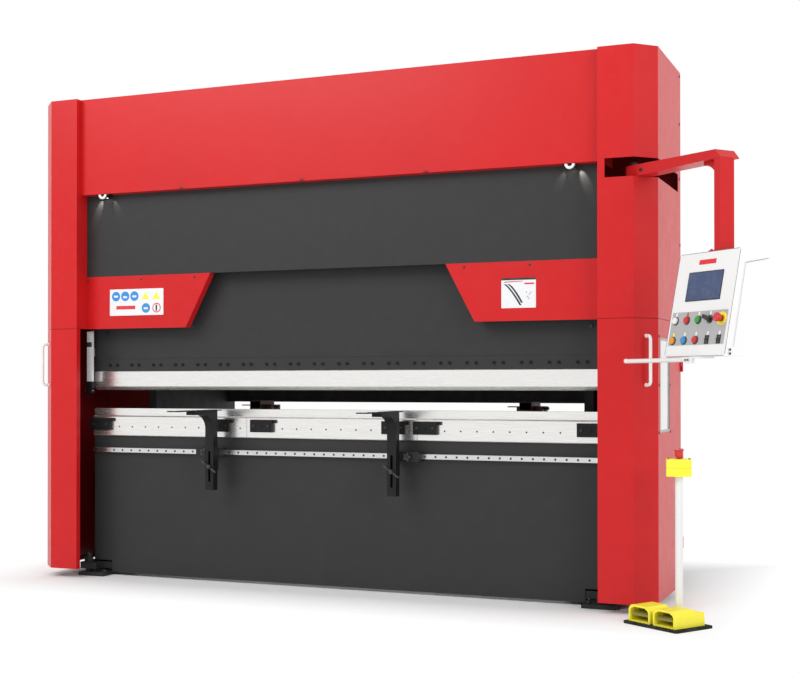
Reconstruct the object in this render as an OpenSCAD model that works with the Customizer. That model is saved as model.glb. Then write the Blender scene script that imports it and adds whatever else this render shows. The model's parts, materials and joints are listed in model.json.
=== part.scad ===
// Hydraulic press brake with a swinging control pendant, sheet supports and a pedal stand.
// Millimetres. X runs along the bend, +Y to the back, +Z up, Z = 0 is the floor.

/* [Covers] */
// Height of the machine over its covers
machine_h = 2785; // [2600:5:3000]
// How far each end of the bend goes in behind a column's front
column_tuck = 10; // [6:1:20]
// Width of a column's flat front
col_front_w = 180; // [150:5:240]
// Size of the 45 degree corner of a column
col_corner = 100; // [60:5:140]
// Depth of a column's side, corner included
col_depth = 710; // [600:5:800]
// Height of the underside of the columns
col_bottom_z = 50; // [40:5:100]
// Height of the joint between a door and the cover above it
split_z = 1448; // [1400:1:1520]
// Thickness of the cover sheets
sheet = 3; // [2:0.5:5]
// Height of the header's lower edge
header_z = 2228; // [2150:1:2350]
// Distance of the header behind the column fronts
header_y = 40; // [20:5:80]
// Distance of the front panel behind the column fronts
panel_y = 100; // [80:5:110]
// Height of the front panel's lower edge
panel_z = 1753; // [1650:1:1900]
// Length of a wing cover along its top
wing_top_len = 833; // [600:1:1100]
// How far a wing cover's slanted end draws back
wing_slant = 161; // [60:1:260]
// Depth of the fold along a wing cover's slanted end
wing_fold = 48; // [20:1:60]
// Width of a door's window
window_w = 234; // [160:2:300]
// Height of a door's window
window_h = 453; // [300:1:600]
// Height of the window's sill
window_z = 892; // [700:1:900]
// Distance of the window behind the column's front
window_y = 148; // [120:1:180]

/* [Frame] */
// Depth of the side frames from the column fronts to their rear edge
frame_depth = 1500; // [1400:10:1700]
// Distance of a side frame's inner face from the end of the bend
frame_inset = 210; // [190:5:260]
// Thickness of a side frame
frame_t = 50; // [40:1:70]
// Height of the side frames
frame_h = 2650; // [2500:10:2700]
// Distance from the column fronts to the bottom of the throat
throat_y = 530; // [450:5:650]
// Height of the throat's upper edge
throat_top_z = 1270; // [1250:5:1350]
// Radius in the corners of the throat
throat_r = 70; // [30:5:120]
// Distance of the ram and table plates behind the column fronts
plate_y = 195; // [188:1:200]
// Thickness of the ram and table plates
plate_t = 50; // [40:1:60]
// Height of the foot plates above the floor
foot_z = 36; // [30:1:50]
// Thickness of a foot plate
foot_t = 38; // [30:1:60]
// Width of a floor pad along the machine
pad_w = 170; // [150:2:190]
// Depth of a floor pad
pad_d = 190; // [170:2:220]
// Thickness of a floor pad
pad_t = 20; // [12:1:25]
// Distance of the front anchors behind the column fronts
anchor_front_y = 155; // [140:5:170]
// Front to rear distance of the anchors
anchor_pitch_y = 1300; // [1200:5:1320]
// Distance of the anchors inside the ends of the bend
anchor_in = 95; // [85:1:100]
// Radius of an anchor hole
anchor_r = 9; // [6:0.5:11]

/* [Bending tools] */
// Bending length
bend_len = 3100; // [2900:10:3110]
// Height of the die's top, which the sheet lies on
die_z = 983; // [940:1:1010]
// Height of the die above its holder
die_h = 42; // [34:1:60]
// Width of the die
die_w = 56; // [46:1:70]
// Width of the die's V
vee_w = 22; // [10:1:32]
// Height of a die holder
holder_h = 120; // [100:1:140]
// Width of a die holder
holder_w = 80; // [76:1:100]
// Pitch of the set screw holes in the holders
holder_pitch = 90; // [60:2:120]
// Radius of a set screw hole
holder_hole_r = 4; // [3:0.5:6]
// Opening between the punch and the die with the ram at rest
daylight = 108; // [90:1:150]
// Height of the punch over all
punch_h = 111; // [90:1:140]
// Width of the punch
punch_w = 60; // [46:1:64]
// Height of the punch's tapered tip
punch_tip_h = 21; // [15:1:30]
// Height of the ram plate
ram_h = 750; // [650:5:800]
// Stroke of the ram below its rest position
stroke_down = 100; // [60:1:105]
// Stroke of the ram above its rest position
stroke_up = 60; // [30:1:70]
// Pitch of the punch clamp screw pairs
clamp_pitch = 149; // [140:1:152]
// Distance between the two screws of a pair
clamp_pair = 50; // [40:1:60]
// Height of the clamp screws above the ram plate's lower edge
clamp_up = 35; // [25:1:50]

/* [Front rail and supports] */
// Height of the front rail's middle
rail_z = 738; // [700:1:760]
// Height of the front rail's section
rail_h = 26; // [20:1:34]
// Depth of the front rail's section
rail_t = 25; // [18:1:30]
// Pitch of the front rail's screw holes
rail_pitch = 59.5; // [50:0.5:60]
// Radius of the front rail's screw holes
rail_hole_r = 4.5; // [3:0.25:6]
// Place of the left support along the machine
support_left_x = -683; // [-900:5:-400]
// Place of the right support along the machine
support_right_x = 422; // [300:1:800]
// Reach of a support in front of the column fronts
support_reach = 330; // [250:10:450]
// Width of a support's top
support_w = 70; // [60:1:90]
// Width of a support's upright
upright_w = 52; // [46:1:70]

/* [Control pendant] */
// Length of the swinging arm from its pin to the post
arm_len = 656; // [600:1:720]
// Angle of the arm, measured from the machine's length towards the front
arm_angle = 40; // [30:1:50]
// Height of the arm's underside
arm_z = 2140; // [2100:1:2160]
// Height of the arm's section at its pin
arm_h = 58; // [48:1:64]
// Height of the arm's section at its far end
arm_tip_h = 41; // [30:1:48]
// Width of the arm's section
arm_w = 82; // [60:1:90]
// Height of the pendant's top
pendant_top_z = 1716; // [1650:1:1780]
// Width of the pendant
pendant_w = 400; // [340:1:440]
// Height of the pendant
pendant_h = 470; // [430:1:520]
// Depth of the pendant's top
pendant_top_d = 165; // [140:1:200]
// Depth of the pendant's bottom
pendant_bottom_d = 137; // [110:1:170]
// How far the pendant's foot stands in front of its top
pendant_lean = 96; // [70:1:120]
// Pitch of the pendant's controls
button_pitch = 76; // [66:1:78]
// Radius of the pendant's round handle
handle_bar_r = 10; // [8:1:14]
// Length of the pendant's round handle
handle_bar_len = 455; // [300:5:470]

/* [Pedal stand] */
// Width of the stand's mat
mat_w = 340; // [320:2:400]
// Depth of the stand's mat
mat_d = 245; // [240:1:300]
// Thickness of the stand's mat
mat_t = 12; // [8:1:18]
// Angle of the stand, measured from the machine's length towards the front
stand_angle = 33; // [20:1:45]
// Width of a pedal hood
hood_w = 136; // [130:1:140]
// Depth of a pedal hood
hood_d = 130; // [120:1:132]
// Height of a pedal hood
hood_h = 80; // [76:1:110]
// Wall of a pedal hood
hood_wall = 10; // [6:0.5:14]
// Radius of the stand's post
post_r = 18; // [12:1:22]
// Height of the stop box's top
stop_box_z = 775; // [700:1:850]

/* [Hidden] */
$fn = 48;

// Gap kept between pieces that move past each other
gap = 0.3;
// Radial clearance of a pin or stem in its bore
fit = 0.05;

// The middle of the anchor pattern is the origin
front_y = -(anchor_front_y + anchor_pitch_y / 2);
frame_x = bend_len / 2 - frame_inset;
col_in = bend_len / 2 - column_tuck;
col_flat = col_in + col_front_w;
col_out = col_flat + col_corner;
back_y = plate_y + plate_t;
bend_y = plate_y + plate_t / 2;
holder_top_z = die_z - die_h;
table_top_z = holder_top_z - holder_h;
punch_tip_z = die_z + daylight;
ram_z = punch_tip_z + punch_h;
ram_top_z = ram_z + ram_h;

red = [0.85, 0.13, 0.15];
dark = [0.24, 0.24, 0.24];
black = [0.08, 0.08, 0.08];
ivory = [0.9, 0.89, 0.87];
steel = [0.6, 0.62, 0.64];
yellow = [0.96, 0.88, 0.12];

module at_front() { translate([0, front_y, 0]) children(); }
module side(s) { if (s < 0) mirror([1, 0, 0]) children(); else children(); }
module both_sides() { for (s = [-1, 1]) side(s) children(); }
module box(a, b) { translate(a) cube(b - a); }
// A profile drawn in Y and Z, carried along X from x0 to x1
module along_x(x0, x1) {
    translate([x0, 0, 0]) rotate([90, 0, 90]) linear_extrude(x1 - x0) children();
}
module rod_y(r, y0, y1) { translate([0, y0, 0]) rotate([-90, 0, 0]) cylinder(r = r, h = y1 - y0); }
module rod_x(r, x0, x1) { translate([x0, 0, 0]) rotate([0, 90, 0]) cylinder(r = r, h = x1 - x0); }
// A rectangle from a to b with round corners
module round_rect(a, b, r) {
    union() {
        translate([a[0] + r, a[1]]) square([b[0] - a[0] - 2 * r, b[1] - a[1]]);
        translate([a[0], a[1] + r]) square([b[0] - a[0], b[1] - a[1] - 2 * r]);
        for (x = [a[0] + r, b[0] - r], y = [a[1] + r, b[1] - r]) translate([x, y]) circle(r);
    }
}

// ---- Side frames ----------------------------------------------------------------------
foot_top_z = foot_z + foot_t;
cyl_x = frame_x - 160;
cyl_r = 95;
cyl_flange_z = header_z + 30;
cyl_flange_t = 40;
guide_t = 30;
jaw_y = back_y + guide_t + gap;
nose_y = panel_y + sheet;
nose_z = ram_top_z + stroke_up + 60;
pivot_x = col_flat - 20;
pivot_y = 100;
pin_r = 20;
bracket_t = 40;
bracket_d = 150;

module frame_profile() {
    difference() {
        polygon([
            [back_y, foot_top_z], [frame_depth, foot_top_z], [frame_depth, frame_h],
            [nose_y, frame_h], [nose_y, nose_z], [jaw_y, nose_z], [jaw_y, throat_top_z],
            [throat_y - throat_r, throat_top_z], [throat_y - throat_r, table_top_z], [back_y, table_top_z]
        ]);
        round_rect([back_y - throat_r - 200, table_top_z], [throat_y, throat_top_z], throat_r);
    }
}
// The bracket that carries the arm's pin, welded to the right frame
module arm_bracket() {
    eye_r = pin_r + 25;
    translate([0, 0, arm_z - bracket_t]) linear_extrude(bracket_t) {
        translate([frame_x + frame_t, panel_y + 10]) square([pivot_x - frame_x - frame_t, bracket_d]);
        translate([pivot_x - eye_r, pivot_y]) square([2 * eye_r, bracket_d + 10]);
        translate([pivot_x, pivot_y]) circle(eye_r);
    }
    translate([pivot_x, pivot_y, arm_z - bracket_t]) cylinder(r = pin_r, h = bracket_t + arm_h + 20);
}
module side_frames() color(dark) at_front() {
    both_sides() along_x(frame_x, frame_x + frame_t) frame_profile();
    arm_bracket();
}

// ---- Cross beams between the frames ---------------------------------------------------
rear_plate_y = frame_depth - 100;
rear_plate_z = 1008;
beam_h = 100;
beam_d = 60;
gauge_bed_z = 600;
bed_front_y = back_y + 40;
bed_rear_y = frame_depth - 200;
rear_plate_t = 30;
rear_plate_top_z = frame_h - 150;
// Upper tie between the frames: depth, height and place
tie_y = 640;
tie_d = 120;
tie_top_z = frame_h - 20;

module cross_beams() color(dark) at_front() {
    box([-frame_x, rear_plate_y, rear_plate_z], [frame_x, rear_plate_y + rear_plate_t, rear_plate_top_z]);
    for (y = [bed_front_y, bed_rear_y])
        box([-frame_x, y, gauge_bed_z], [frame_x, y + beam_d, gauge_bed_z + beam_h]);
    box([-frame_x, tie_y, tie_top_z - tie_d], [frame_x, tie_y + tie_d, tie_top_z]);
}

// ---- Table ----------------------------------------------------------------------------
table_bottom_z = 14;
// Width and height of the cut-outs over the feet
table_notch = [122, 70];

module table_beam() color(dark) at_front() difference() {
    box([-bend_len / 2, plate_y, table_bottom_z], [bend_len / 2, back_y, table_top_z]);
    both_sides()
        box([bend_len / 2 - table_notch[0], plate_y - 1, table_bottom_z - 1],
            [bend_len / 2 + 1, back_y + 1, table_bottom_z + table_notch[1]]);
}

// ---- Covers ---------------------------------------------------------------------------
header_back_y = 330;
module header_cover() color(red) at_front() difference() {
    box([-col_in, header_y, header_z], [col_in, header_back_y, machine_h]);
    box([-col_in + sheet, header_y + sheet, header_z + sheet],
        [col_in - sheet, header_back_y + 1, machine_h - sheet]);
    box([-col_in - 1, panel_y, header_z - 1], [col_in + 1, header_back_y + 1, header_z + sheet + 1]);
}
module front_panel() color(dark) at_front() {
    box([-col_in, panel_y, panel_z], [col_in, panel_y + sheet, header_z + sheet]);
}
module wing_covers() color(red) at_front() both_sides() {
    x_top = col_in - wing_top_len;
    x_low = x_top + wing_slant;
    rise = panel_z - split_z;
    // Length of sheet seen along X at the slanted fold
    fold_x = sheet * norm([rise, wing_slant]) / rise;
    rotate([90, 0, 0]) translate([0, 0, -panel_y - sheet]) linear_extrude(sheet)
        polygon([[x_top, panel_z], [col_in, panel_z], [col_in, split_z], [x_low, split_z]]);
    rotate([90, 0, 0]) translate([0, 0, -panel_y - wing_fold]) linear_extrude(wing_fold)
        polygon([[x_top, panel_z], [x_top + fold_x, panel_z], [x_low + fold_x, split_z], [x_low, split_z]]);
}
rear_fold = 30;
// Section of a folded column cover: inner wall, flat front, corner, side and rear fold
module cover_profile(wall, depth) {
    k = sheet * (sqrt(2) - 1);
    polygon([
        [col_in, wall], [col_in, 0], [col_flat, 0], [col_out, col_corner], [col_out, depth],
        [col_out - rear_fold, depth], [col_out - rear_fold, depth - sheet],
        [col_out - sheet, depth - sheet], [col_out - sheet, col_corner + k],
        [col_flat - k, sheet], [col_in + sheet, sheet],
        [col_in + sheet, wall]
    ]);
}
door_gap = 2;
notch_x = col_in + 36;
notch_y = 639;
notch_z = arm_z - 1;
notch_h = arm_h + 36;
hinge_r = 6;
hinge_pin_r = 2.5;
hinge_len = 30;
hinge_zs = [250, 720, 1190];
hinge_x = col_out + hinge_r;
hinge_y = col_depth + hinge_r;
bulkhead_t = 3;

module upper_cover() {
    translate([0, 0, split_z]) linear_extrude(machine_h - split_z) cover_profile(panel_y, col_depth);
    translate([0, 0, machine_h - sheet]) linear_extrude(sheet)
        polygon([
            [col_in, 0], [col_flat, 0], [col_out, col_corner],
            [col_out, col_depth], [col_in, col_depth]
        ]);
}
module bulkhead() {
    back = col_depth + bulkhead_t;
    box([frame_x + frame_t, col_depth, col_bottom_z], [col_out - sheet, back, machine_h]);
    for (z = hinge_zs) translate([0, 0, z]) {
        box([col_out - rear_fold, back, 0], [hinge_x, back + hinge_r, hinge_len]);
        translate([hinge_x, hinge_y, 0]) cylinder(r = hinge_r, h = hinge_len);
        translate([hinge_x, hinge_y, 0]) cylinder(r = hinge_pin_r, h = 2 * hinge_len);
    }
}
module column_covers() color(red) at_front() {
    both_sides() bulkhead();
    side(-1) upper_cover();
    difference() {
        upper_cover();
        box([notch_x, -1, notch_z], [col_out + 1, notch_y, notch_z + notch_h]);
    }
}
// Depth of a door's inner wall and width of its end ribs
door_wall = 35;
rib_w = 60;
module door() {
    depth = col_depth - 2 * gap;
    top = split_z - door_gap;
    window_a = [col_out - sheet, window_y, window_z];
    window_b = [col_out, window_y + window_w, window_z + window_h];
    difference() {
        union() {
            translate([0, 0, col_bottom_z]) linear_extrude(top - col_bottom_z)
                cover_profile(door_wall, depth);
            for (z = [col_bottom_z, top - sheet]) translate([0, 0, z]) linear_extrude(sheet) polygon([
                [col_in, 0], [col_flat, 0], [col_out, col_corner], [col_out, depth],
                [col_out - rib_w, depth], [col_out - rib_w, col_corner + rib_w / 2],
                [col_flat - 20, rib_w], [col_in, door_wall]
            ]);
            for (z = hinge_zs) translate([0, 0, z + hinge_len + gap]) {
                box([col_out - 1, hinge_y - 30, 0], [hinge_x, hinge_y, hinge_len - gap]);
                translate([hinge_x, hinge_y, 0]) cylinder(r = hinge_r, h = hinge_len - gap);
            }
        }
        box(window_a - [1, 0, 0], window_b + [1, 0, 0]);
        for (z = hinge_zs) translate([hinge_x, hinge_y, z + hinge_len])
            cylinder(r = hinge_pin_r + fit, h = hinge_len + 1);
    }
    box(window_a, window_b - [1, 0, 0]);
}
module door_left() color(red) at_front() side(-1) door();
module door_right() color(red) at_front() door();

// A bow handle on the corner of a door
bow_z = [1120, 1360];
bow_r = 8;
bow_out = 38;
bow_bend = 20;
module bow_handle() {
    mid = (col_flat + col_out) / 2;
    translate([mid, col_corner / 2, 0]) rotate([0, 0, -45]) {
        for (z = bow_z) translate([0, 0, z]) {
            rod_x(bow_r, 0, bow_out - bow_bend);
            rod_x(bow_r + 2, 0, 3);
        }
        translate([bow_out, 0, bow_z[0] + bow_bend])
            cylinder(r = bow_r, h = bow_z[1] - bow_z[0] - 2 * bow_bend);
        for (e = [[bow_z[0] + bow_bend, 180], [bow_z[1] - bow_bend, 0]])
            translate([bow_out - bow_bend, 0, e[0]]) rotate([e[1], 0, 0]) rotate([90, 0, 0])
                rotate_extrude(angle = 90) translate([bow_bend, 0]) circle(bow_r);
    }
}
module door_handle_left() color(ivory) at_front() side(-1) bow_handle();
module door_handle_right() color(ivory) at_front() bow_handle();

// ---- Feet -----------------------------------------------------------------------------
anchor_x = bend_len / 2 - anchor_in;
pad_x = anchor_x - 25;
foot_in_x = bend_len / 2 - table_notch[0] + 3;
foot_out_x = bend_len / 2 + 60;
foot_back_y = 400;
screw_x = bend_len / 2 + 20;
screw_y = plate_y - 30;
nut_r = 28;
screw_r = 18;
// The lug that takes the levelling screw reaches this far in front of the table plate
lug_front_y = screw_y - 30;

// The right front foot; the others are its mirror images
module foot() {
    // Floor pad with the anchor hole
    difference() {
        box([pad_x, anchor_front_y - 50, 0], [pad_x + pad_w, anchor_front_y - 50 + pad_d, pad_t]);
        translate([anchor_x, anchor_front_y, -1]) cylinder(r = anchor_r, h = pad_t + 2);
    }
    // Foot plate under the side frame: flush with the table plate, with a lug for the screw
    difference() {
        box([frame_x - 40, lug_front_y, foot_z], [foot_out_x, foot_back_y, foot_top_z]);
        box([frame_x - 41, lug_front_y - 1, foot_z - 1], [foot_out_x - 110, plate_y, foot_top_z + 1]);
        box([frame_x - 41, lug_front_y - 1, foot_z - 1], [foot_in_x, back_y, foot_top_z + 1]);
        translate([screw_x, screw_y, foot_z - 1]) cylinder(r = screw_r + fit, h = foot_t + 2);
    }
    // Levelling screw with its lock nut
    translate([screw_x, screw_y, pad_t]) cylinder(r = screw_r, h = foot_top_z + 50 - pad_t);
    translate([screw_x, screw_y, foot_top_z]) cylinder(r = nut_r, h = 28, $fn = 6);
}
module machine_feet() color(black) both_sides() for (m = [0, 1]) mirror([0, m, 0]) at_front() foot();

// ---- Hydraulics -----------------------------------------------------------------------
rod_r = 55;
cyl_top_z = machine_h - 60;
cyl_wall = 20;
bore_z = cyl_flange_z + cyl_flange_t;
valve_w = 120;

module cylinders() color(steel) at_front() both_sides() {
    difference() {
        union() {
            translate([cyl_x, bend_y, cyl_flange_z]) cylinder(r = cyl_r, h = cyl_top_z - cyl_flange_z);
            box([cyl_x - cyl_r - 20, nose_y, cyl_flange_z], [frame_x, bend_y + cyl_r + 5, bore_z]);
        }
        translate([cyl_x, bend_y, cyl_flange_z - 1]) cylinder(r = rod_r + fit, h = cyl_flange_t + 2);
        translate([cyl_x, bend_y, bore_z]) cylinder(r = cyl_r - cyl_wall, h = cyl_top_z - bore_z - 30);
    }
    // Valve block on the back of the cylinder
    translate([cyl_x, bend_y + cyl_r, cyl_flange_z + 120])
        box([-valve_w / 2, 0, 0], [valve_w / 2, 110, 180]);
}
piston_r = cyl_r - cyl_wall - 2 * fit;
piston_z = bore_z + 140;
module piston_rods() color(steel) at_front() both_sides() translate([cyl_x, bend_y, 0]) {
    translate([0, 0, ram_top_z]) cylinder(r = rod_r, h = piston_z - ram_top_z);
    translate([0, 0, piston_z]) cylinder(r = piston_r, h = 60);
}
tank_w = 1100;
tank_d = 400;
tank_h = 420;
tank_z = 2050;
tank_wall = 4;
filler_r = 38;
tank = [[-tank_w / 2, rear_plate_y - tank_d, tank_z], [tank_w / 2, rear_plate_y, tank_z + tank_h]];
module oil_tank() color([0.3, 0.32, 0.34]) at_front() {
    difference() {
        box(tank[0], tank[1]);
        box(tank[0] + tank_wall * [1, 1, 1], tank[1] - tank_wall * [1, 1, 1]);
    }
    translate([-tank_w / 2 + 120, rear_plate_y - tank_d + 100, tank[1][2]]) cylinder(r = filler_r, h = 70);
    // Oil level gauges
    for (x = [-1, 1] * tank_w * 0.27)
        translate([x, tank[0][1], tank_z]) box([0, -8, 60], [40, 0, tank_h - 120]);
}
motor_r = 100;
motor_z = tank[1][2] + motor_r + 30;
motor_x = [-120, 180];
module pump_motor() color([0.25, 0.35, 0.45]) at_front() translate([0, rear_plate_y - tank_d / 2, motor_z]) {
    rod_x(motor_r, motor_x[0], motor_x[1]);
    for (x = [motor_x[0] + 20 : 25 : motor_x[1] - 30]) rod_x(motor_r + 8, x, x + 8);
    // Fan cover at one end, pump at the other
    rod_x(motor_r - 15, motor_x[1], motor_x[1] + 35);
    rod_x(motor_r - 40, motor_x[0] - 180, motor_x[0]);
    for (x = [-90, 110]) box([x, -80, tank[1][2] - motor_z], [x + 50, 80, -70]);
    box([-40, -120, 30], [70, -60, 110]);
}
// Mounting plate with relays, drives and terminals, inside the right column
gear_z = 1480;
gear_y = 345;
gear_w = 345;
gear_h = 600;
gear_t = 4;
relay_pitch = 80;
drive_pitch = 150;
duct_w = gear_w - 15;
module control_gear() color([0.75, 0.76, 0.77]) at_front() translate([frame_x + frame_t, gear_y, gear_z]) {
    box([0, 0, 0], [gear_t, gear_w, gear_h]);
    for (i = [0 : 3])
        box([gear_t, relay_pitch * i + 15, gear_h - 160], [74, relay_pitch * (i + 1) - 5, gear_h - 60]);
    for (i = [0 : 1])
        box([gear_t, drive_pitch * i + 20, gear_h - 380], [104, drive_pitch * (i + 1) - 10, gear_h - 200]);
    box([gear_t, 15, 40], [34, duct_w, 80]);
    box([gear_t, 15, 130], [54, duct_w, 180]);
}

// ---- Lamps, guides and scales ---------------------------------------------------------
lamp_x = col_in - 150;
lamp_r = 25;
lamp_h = 22;
module work_lamps() color(ivory) at_front() both_sides() translate([lamp_x, header_y + 30, header_z]) {
    box([-44, -10, -4], [16, 10, 0]);
    translate([0, 0, -lamp_h]) difference() {
        cylinder(r = lamp_r, h = lamp_h - 3);
        translate([0, 0, -1]) cylinder(r = lamp_r - 4, h = lamp_h / 2 + 1);
    }
}
module ram_guides() color(steel) at_front() both_sides() {
    box([frame_x - 15, back_y + gap, throat_top_z + 60], [frame_x + frame_t + 15, jaw_y, nose_z - 40]);
}
scale_x = bend_len / 2 - 18;
scale_z = 1142;
scale_h = stroke_up + stroke_down + 133;
scale_carrier_y = jaw_y + 40;
scale_carrier_z = throat_top_z + 20;
module linear_scales() color(ivory) at_front() both_sides() {
    y = plate_y - 60;
    w = 33;
    box([scale_x, y, scale_z], [scale_x + w, y + 22, scale_z + scale_h]);
    box([scale_x + 4, y + 22, scale_z - 70], [scale_x + w, y + 28, scale_z + scale_h + 5]);
    // Carrier from the scale to the side frame
    translate([0, 0, scale_carrier_z]) {
        box([scale_x + w - 4, y + 28, 0], [scale_x + w, scale_carrier_y, 50]);
        box([frame_x + frame_t, scale_carrier_y, 0], [scale_x + w, scale_carrier_y + 12, 50]);
    }
}

// ---- Die, holders and clamps ----------------------------------------------------------
segments = 3;
segment_len = bend_len / segments;
segment_gap = 2;
// Distances of a segment's two clamps from its left end
clamp_len = 137;
clamp_t = 22;
clamp_places = [[61, 862], [101, 902], [51, 946]];
// How far each holder's row of pin holes sits off its middle
hole_shift = [25, -22, 0];

module die_holders() color(ivory) at_front() for (i = [0 : segments - 1]) {
    x0 = -bend_len / 2 + i * segment_len + segment_gap / 2;
    x1 = x0 + segment_len - segment_gap;
    y0 = bend_y - holder_w / 2;
    y1 = bend_y + holder_w / 2;
    holes = floor((segment_len - 100) / holder_pitch);
    hole_z = (table_top_z + holder_top_z) / 2 - 6;
    difference() {
        along_x(x0, x1) polygon([
            [y0 + 4, table_top_z], [y1 - 4, table_top_z], [y1, table_top_z + 4], [y1, holder_top_z - 8],
            [y1 - 8, holder_top_z], [y0 + 8, holder_top_z], [y0, holder_top_z - 8], [y0, table_top_z + 4]
        ]);
        for (k = [0 : holes])
            translate([(x0 + x1) / 2 + hole_shift[i] + (k - holes / 2) * holder_pitch, 0, hole_z])
                rod_y(holder_hole_r, y0 - 1, y0 + 25);
    }
}
module die() color(ivory) at_front() along_x(-bend_len / 2, bend_len / 2) {
    w = die_w / 2;
    z = holder_top_z;
    translate([bend_y, 0]) polygon([
        [-w + 5, z], [w - 5, z], [w - 5, z + 8], [w, z + 8], [w, die_z], [vee_w / 2, die_z],
        [0, die_z - vee_w / 2], [-vee_w / 2, die_z], [-w, die_z], [-w, z + 8], [-w + 5, z + 8]
    ]);
}
module die_clamp(x) {
    y = bend_y - holder_w / 2;
    z = holder_top_z;
    w = clamp_len / 2;
    box([x - w, y - clamp_t, z - 86], [x + w, y, z - 16]);
    box([x + w, y - 12, z - 34], [x + w + 20, y, z - 16]);
    translate([x, y - clamp_t, z - 51]) rotate([90, 0, 0]) cylinder(r = 9, h = 5);
}
module die_clamps() color(black) at_front() for (i = [0 : segments - 1], p = clamp_places[i])
    die_clamp(-bend_len / 2 + i * segment_len + p);

// ---- Ram ------------------------------------------------------------------------------
step_t = 1.5;
step_h = 4;
module ram_plate() color(dark) at_front() difference() {
    box([-bend_len / 2, plate_y, ram_z], [bend_len / 2, back_y, ram_top_z]);
    // A shallow step along the lower edge, over the punch clamps
    translate([0, plate_y, ram_z + 2 * clamp_up])
        box([-bend_len / 2 - 1, -1, 0], [bend_len / 2 + 1, step_t, step_h]);
}
module punch() color(ivory) at_front() along_x(-bend_len / 2, bend_len / 2) {
    w = punch_w / 2;
    translate([bend_y, 0]) polygon([
        [-w + 3, ram_z], [w - 3, ram_z], [w, ram_z - 3], [w, punch_tip_z + punch_tip_h],
        [1.5, punch_tip_z], [-1.5, punch_tip_z], [-w, punch_tip_z + punch_tip_h], [-w, ram_z - 3]
    ]);
}
screw_head_r = 8;
module punch_screws() color(black) at_front() {
    pairs = floor((bend_len - clamp_pair - 100) / clamp_pitch);
    for (i = [0 : pairs], s = [-1, 1])
        translate([(i - pairs / 2) * clamp_pitch + s * clamp_pair / 2, plate_y, ram_z + clamp_up])
            rotate([90, 0, 0]) difference() {
                cylinder(r = screw_head_r, h = 7, $fn = 24);
                translate([0, 0, 3]) cylinder(r = screw_head_r * 0.525, h = 5, $fn = 6);
            }
}

// ---- Front rail and sheet supports ----------------------------------------------------
rail_y = plate_y - rail_t;
module front_rail() color(ivory) at_front() {
    holes = floor((bend_len - 60) / rail_pitch);
    difference() {
        box([-bend_len / 2, rail_y, rail_z - rail_h / 2], [bend_len / 2, plate_y, rail_z + rail_h / 2]);
        for (i = [0 : holes]) translate([(i - holes / 2) * rail_pitch, rail_y - 1, rail_z])
            rotate([-90, 0, 0]) cylinder(r = rail_hole_r, h = rail_t + 2, $fn = 24);
        for (s = [-1, 1]) translate([0, plate_y - rail_t * 0.4, rail_z + s * rail_h / 2])
            rotate([45, 0, 0]) cube([bend_len + 2, 6, 6], center = true);
    }
}
upright_y = 50;
upright_t = 46;
upright_bottom_z = 532;
carriage_y = 118;
stud_z = 662;
stud_r = 6;
slot_z = [584, 744];
support_top_z = die_z - 1.5;
support_plate_t = 6;
knob_off = 66;
knob_t = 22;
knob_pin_r = 5;
carriage_w = 150;
carriage_off = 52;
carriage_lip = 14;
lever_y = upright_y - 8;

// The carriage hooks over and under the rail and carries the stud that guides the upright
module carriage(s) {
    z0 = rail_z - rail_h / 2;
    z1 = rail_z + rail_h / 2;
    x0 = s * carriage_off - carriage_w / 2;
    x1 = s * carriage_off + carriage_w / 2;
    neck = upright_w / 2 - 6;
    difference() {
        union() {
            box([x0, carriage_y, z0 - carriage_lip], [x1, plate_y - 2, z1 + carriage_lip]);
            box([-neck, upright_y + upright_t + gap, stud_z - 22], [neck, carriage_y, z1 + carriage_lip]);
        }
        box([x0 - 1, rail_y - gap, z0 - gap], [x1 + 1, plate_y, z1 + gap]);
    }
    translate([0, 0, stud_z]) rod_y(stud_r, lever_y, upright_y + upright_t + 2);
    translate([s * knob_off, 0, rail_z]) rod_y(knob_pin_r, carriage_y - knob_t, carriage_y);
}
module carriage_left() color(black) at_front() translate([support_left_x, 0, 0]) carriage(-1);
module carriage_right() color(black) at_front() translate([support_right_x, 0, 0]) carriage(1);

module support() {
    w = upright_w / 2;
    web_z = support_top_z - support_plate_t;
    slot_r = stud_r + 1;
    back = upright_y + upright_t;
    // Reach and drop of the curved gusset
    gusset_y = 110;
    gusset_z = 80;
    difference() {
        union() {
            // Top plate, web and curved gusset
            box([-support_w / 2, -support_reach, web_z], [support_w / 2, 130, support_top_z]);
            box([-w, -150, web_z - 20], [w, back, web_z]);
            box([-w, upright_y, upright_bottom_z], [w, back, web_z]);
            difference() {
                box([-w, upright_y - gusset_y, web_z - 20 - gusset_z], [w, upright_y, web_z - 20]);
                translate([0, upright_y - gusset_y, web_z - 20 - gusset_z])
                    scale([1, gusset_y / gusset_z, 1]) rod_x(gusset_z, -w - 1, w + 1);
            }
        }
        // Back of the upright is a channel
        box([-w + 5, upright_y + 6, upright_bottom_z - 1], [w - 5, back + 1, slot_z[0] - 20]);
        // Long slot for the carriage's stud
        box([-slot_r, upright_y - 1, slot_z[0]], [slot_r, back + 1, slot_z[1]]);
        for (z = slot_z) translate([0, 0, z]) rod_y(slot_r, upright_y - 1, back + 1);
    }
}
module support_left() color(black) at_front() translate([support_left_x, 0, 0]) support();
module support_right() color(black) at_front() translate([support_right_x, 0, 0]) support();

module clamp_lever() translate([0, 0, stud_z]) {
    difference() {
        union() {
            rod_y(13, lever_y, upright_y - gap);
            rotate([0, 35, 0]) translate([-47, lever_y + 1, -5]) cube([94, 5, 10]);
        }
        rod_y(stud_r + fit, lever_y - 1, upright_y + 1);
    }
}
module clamp_lever_left() color(black) at_front() translate([support_left_x, 0, 0]) clamp_lever();
module clamp_lever_right() color(black) at_front() translate([support_right_x, 0, 0]) clamp_lever();

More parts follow.
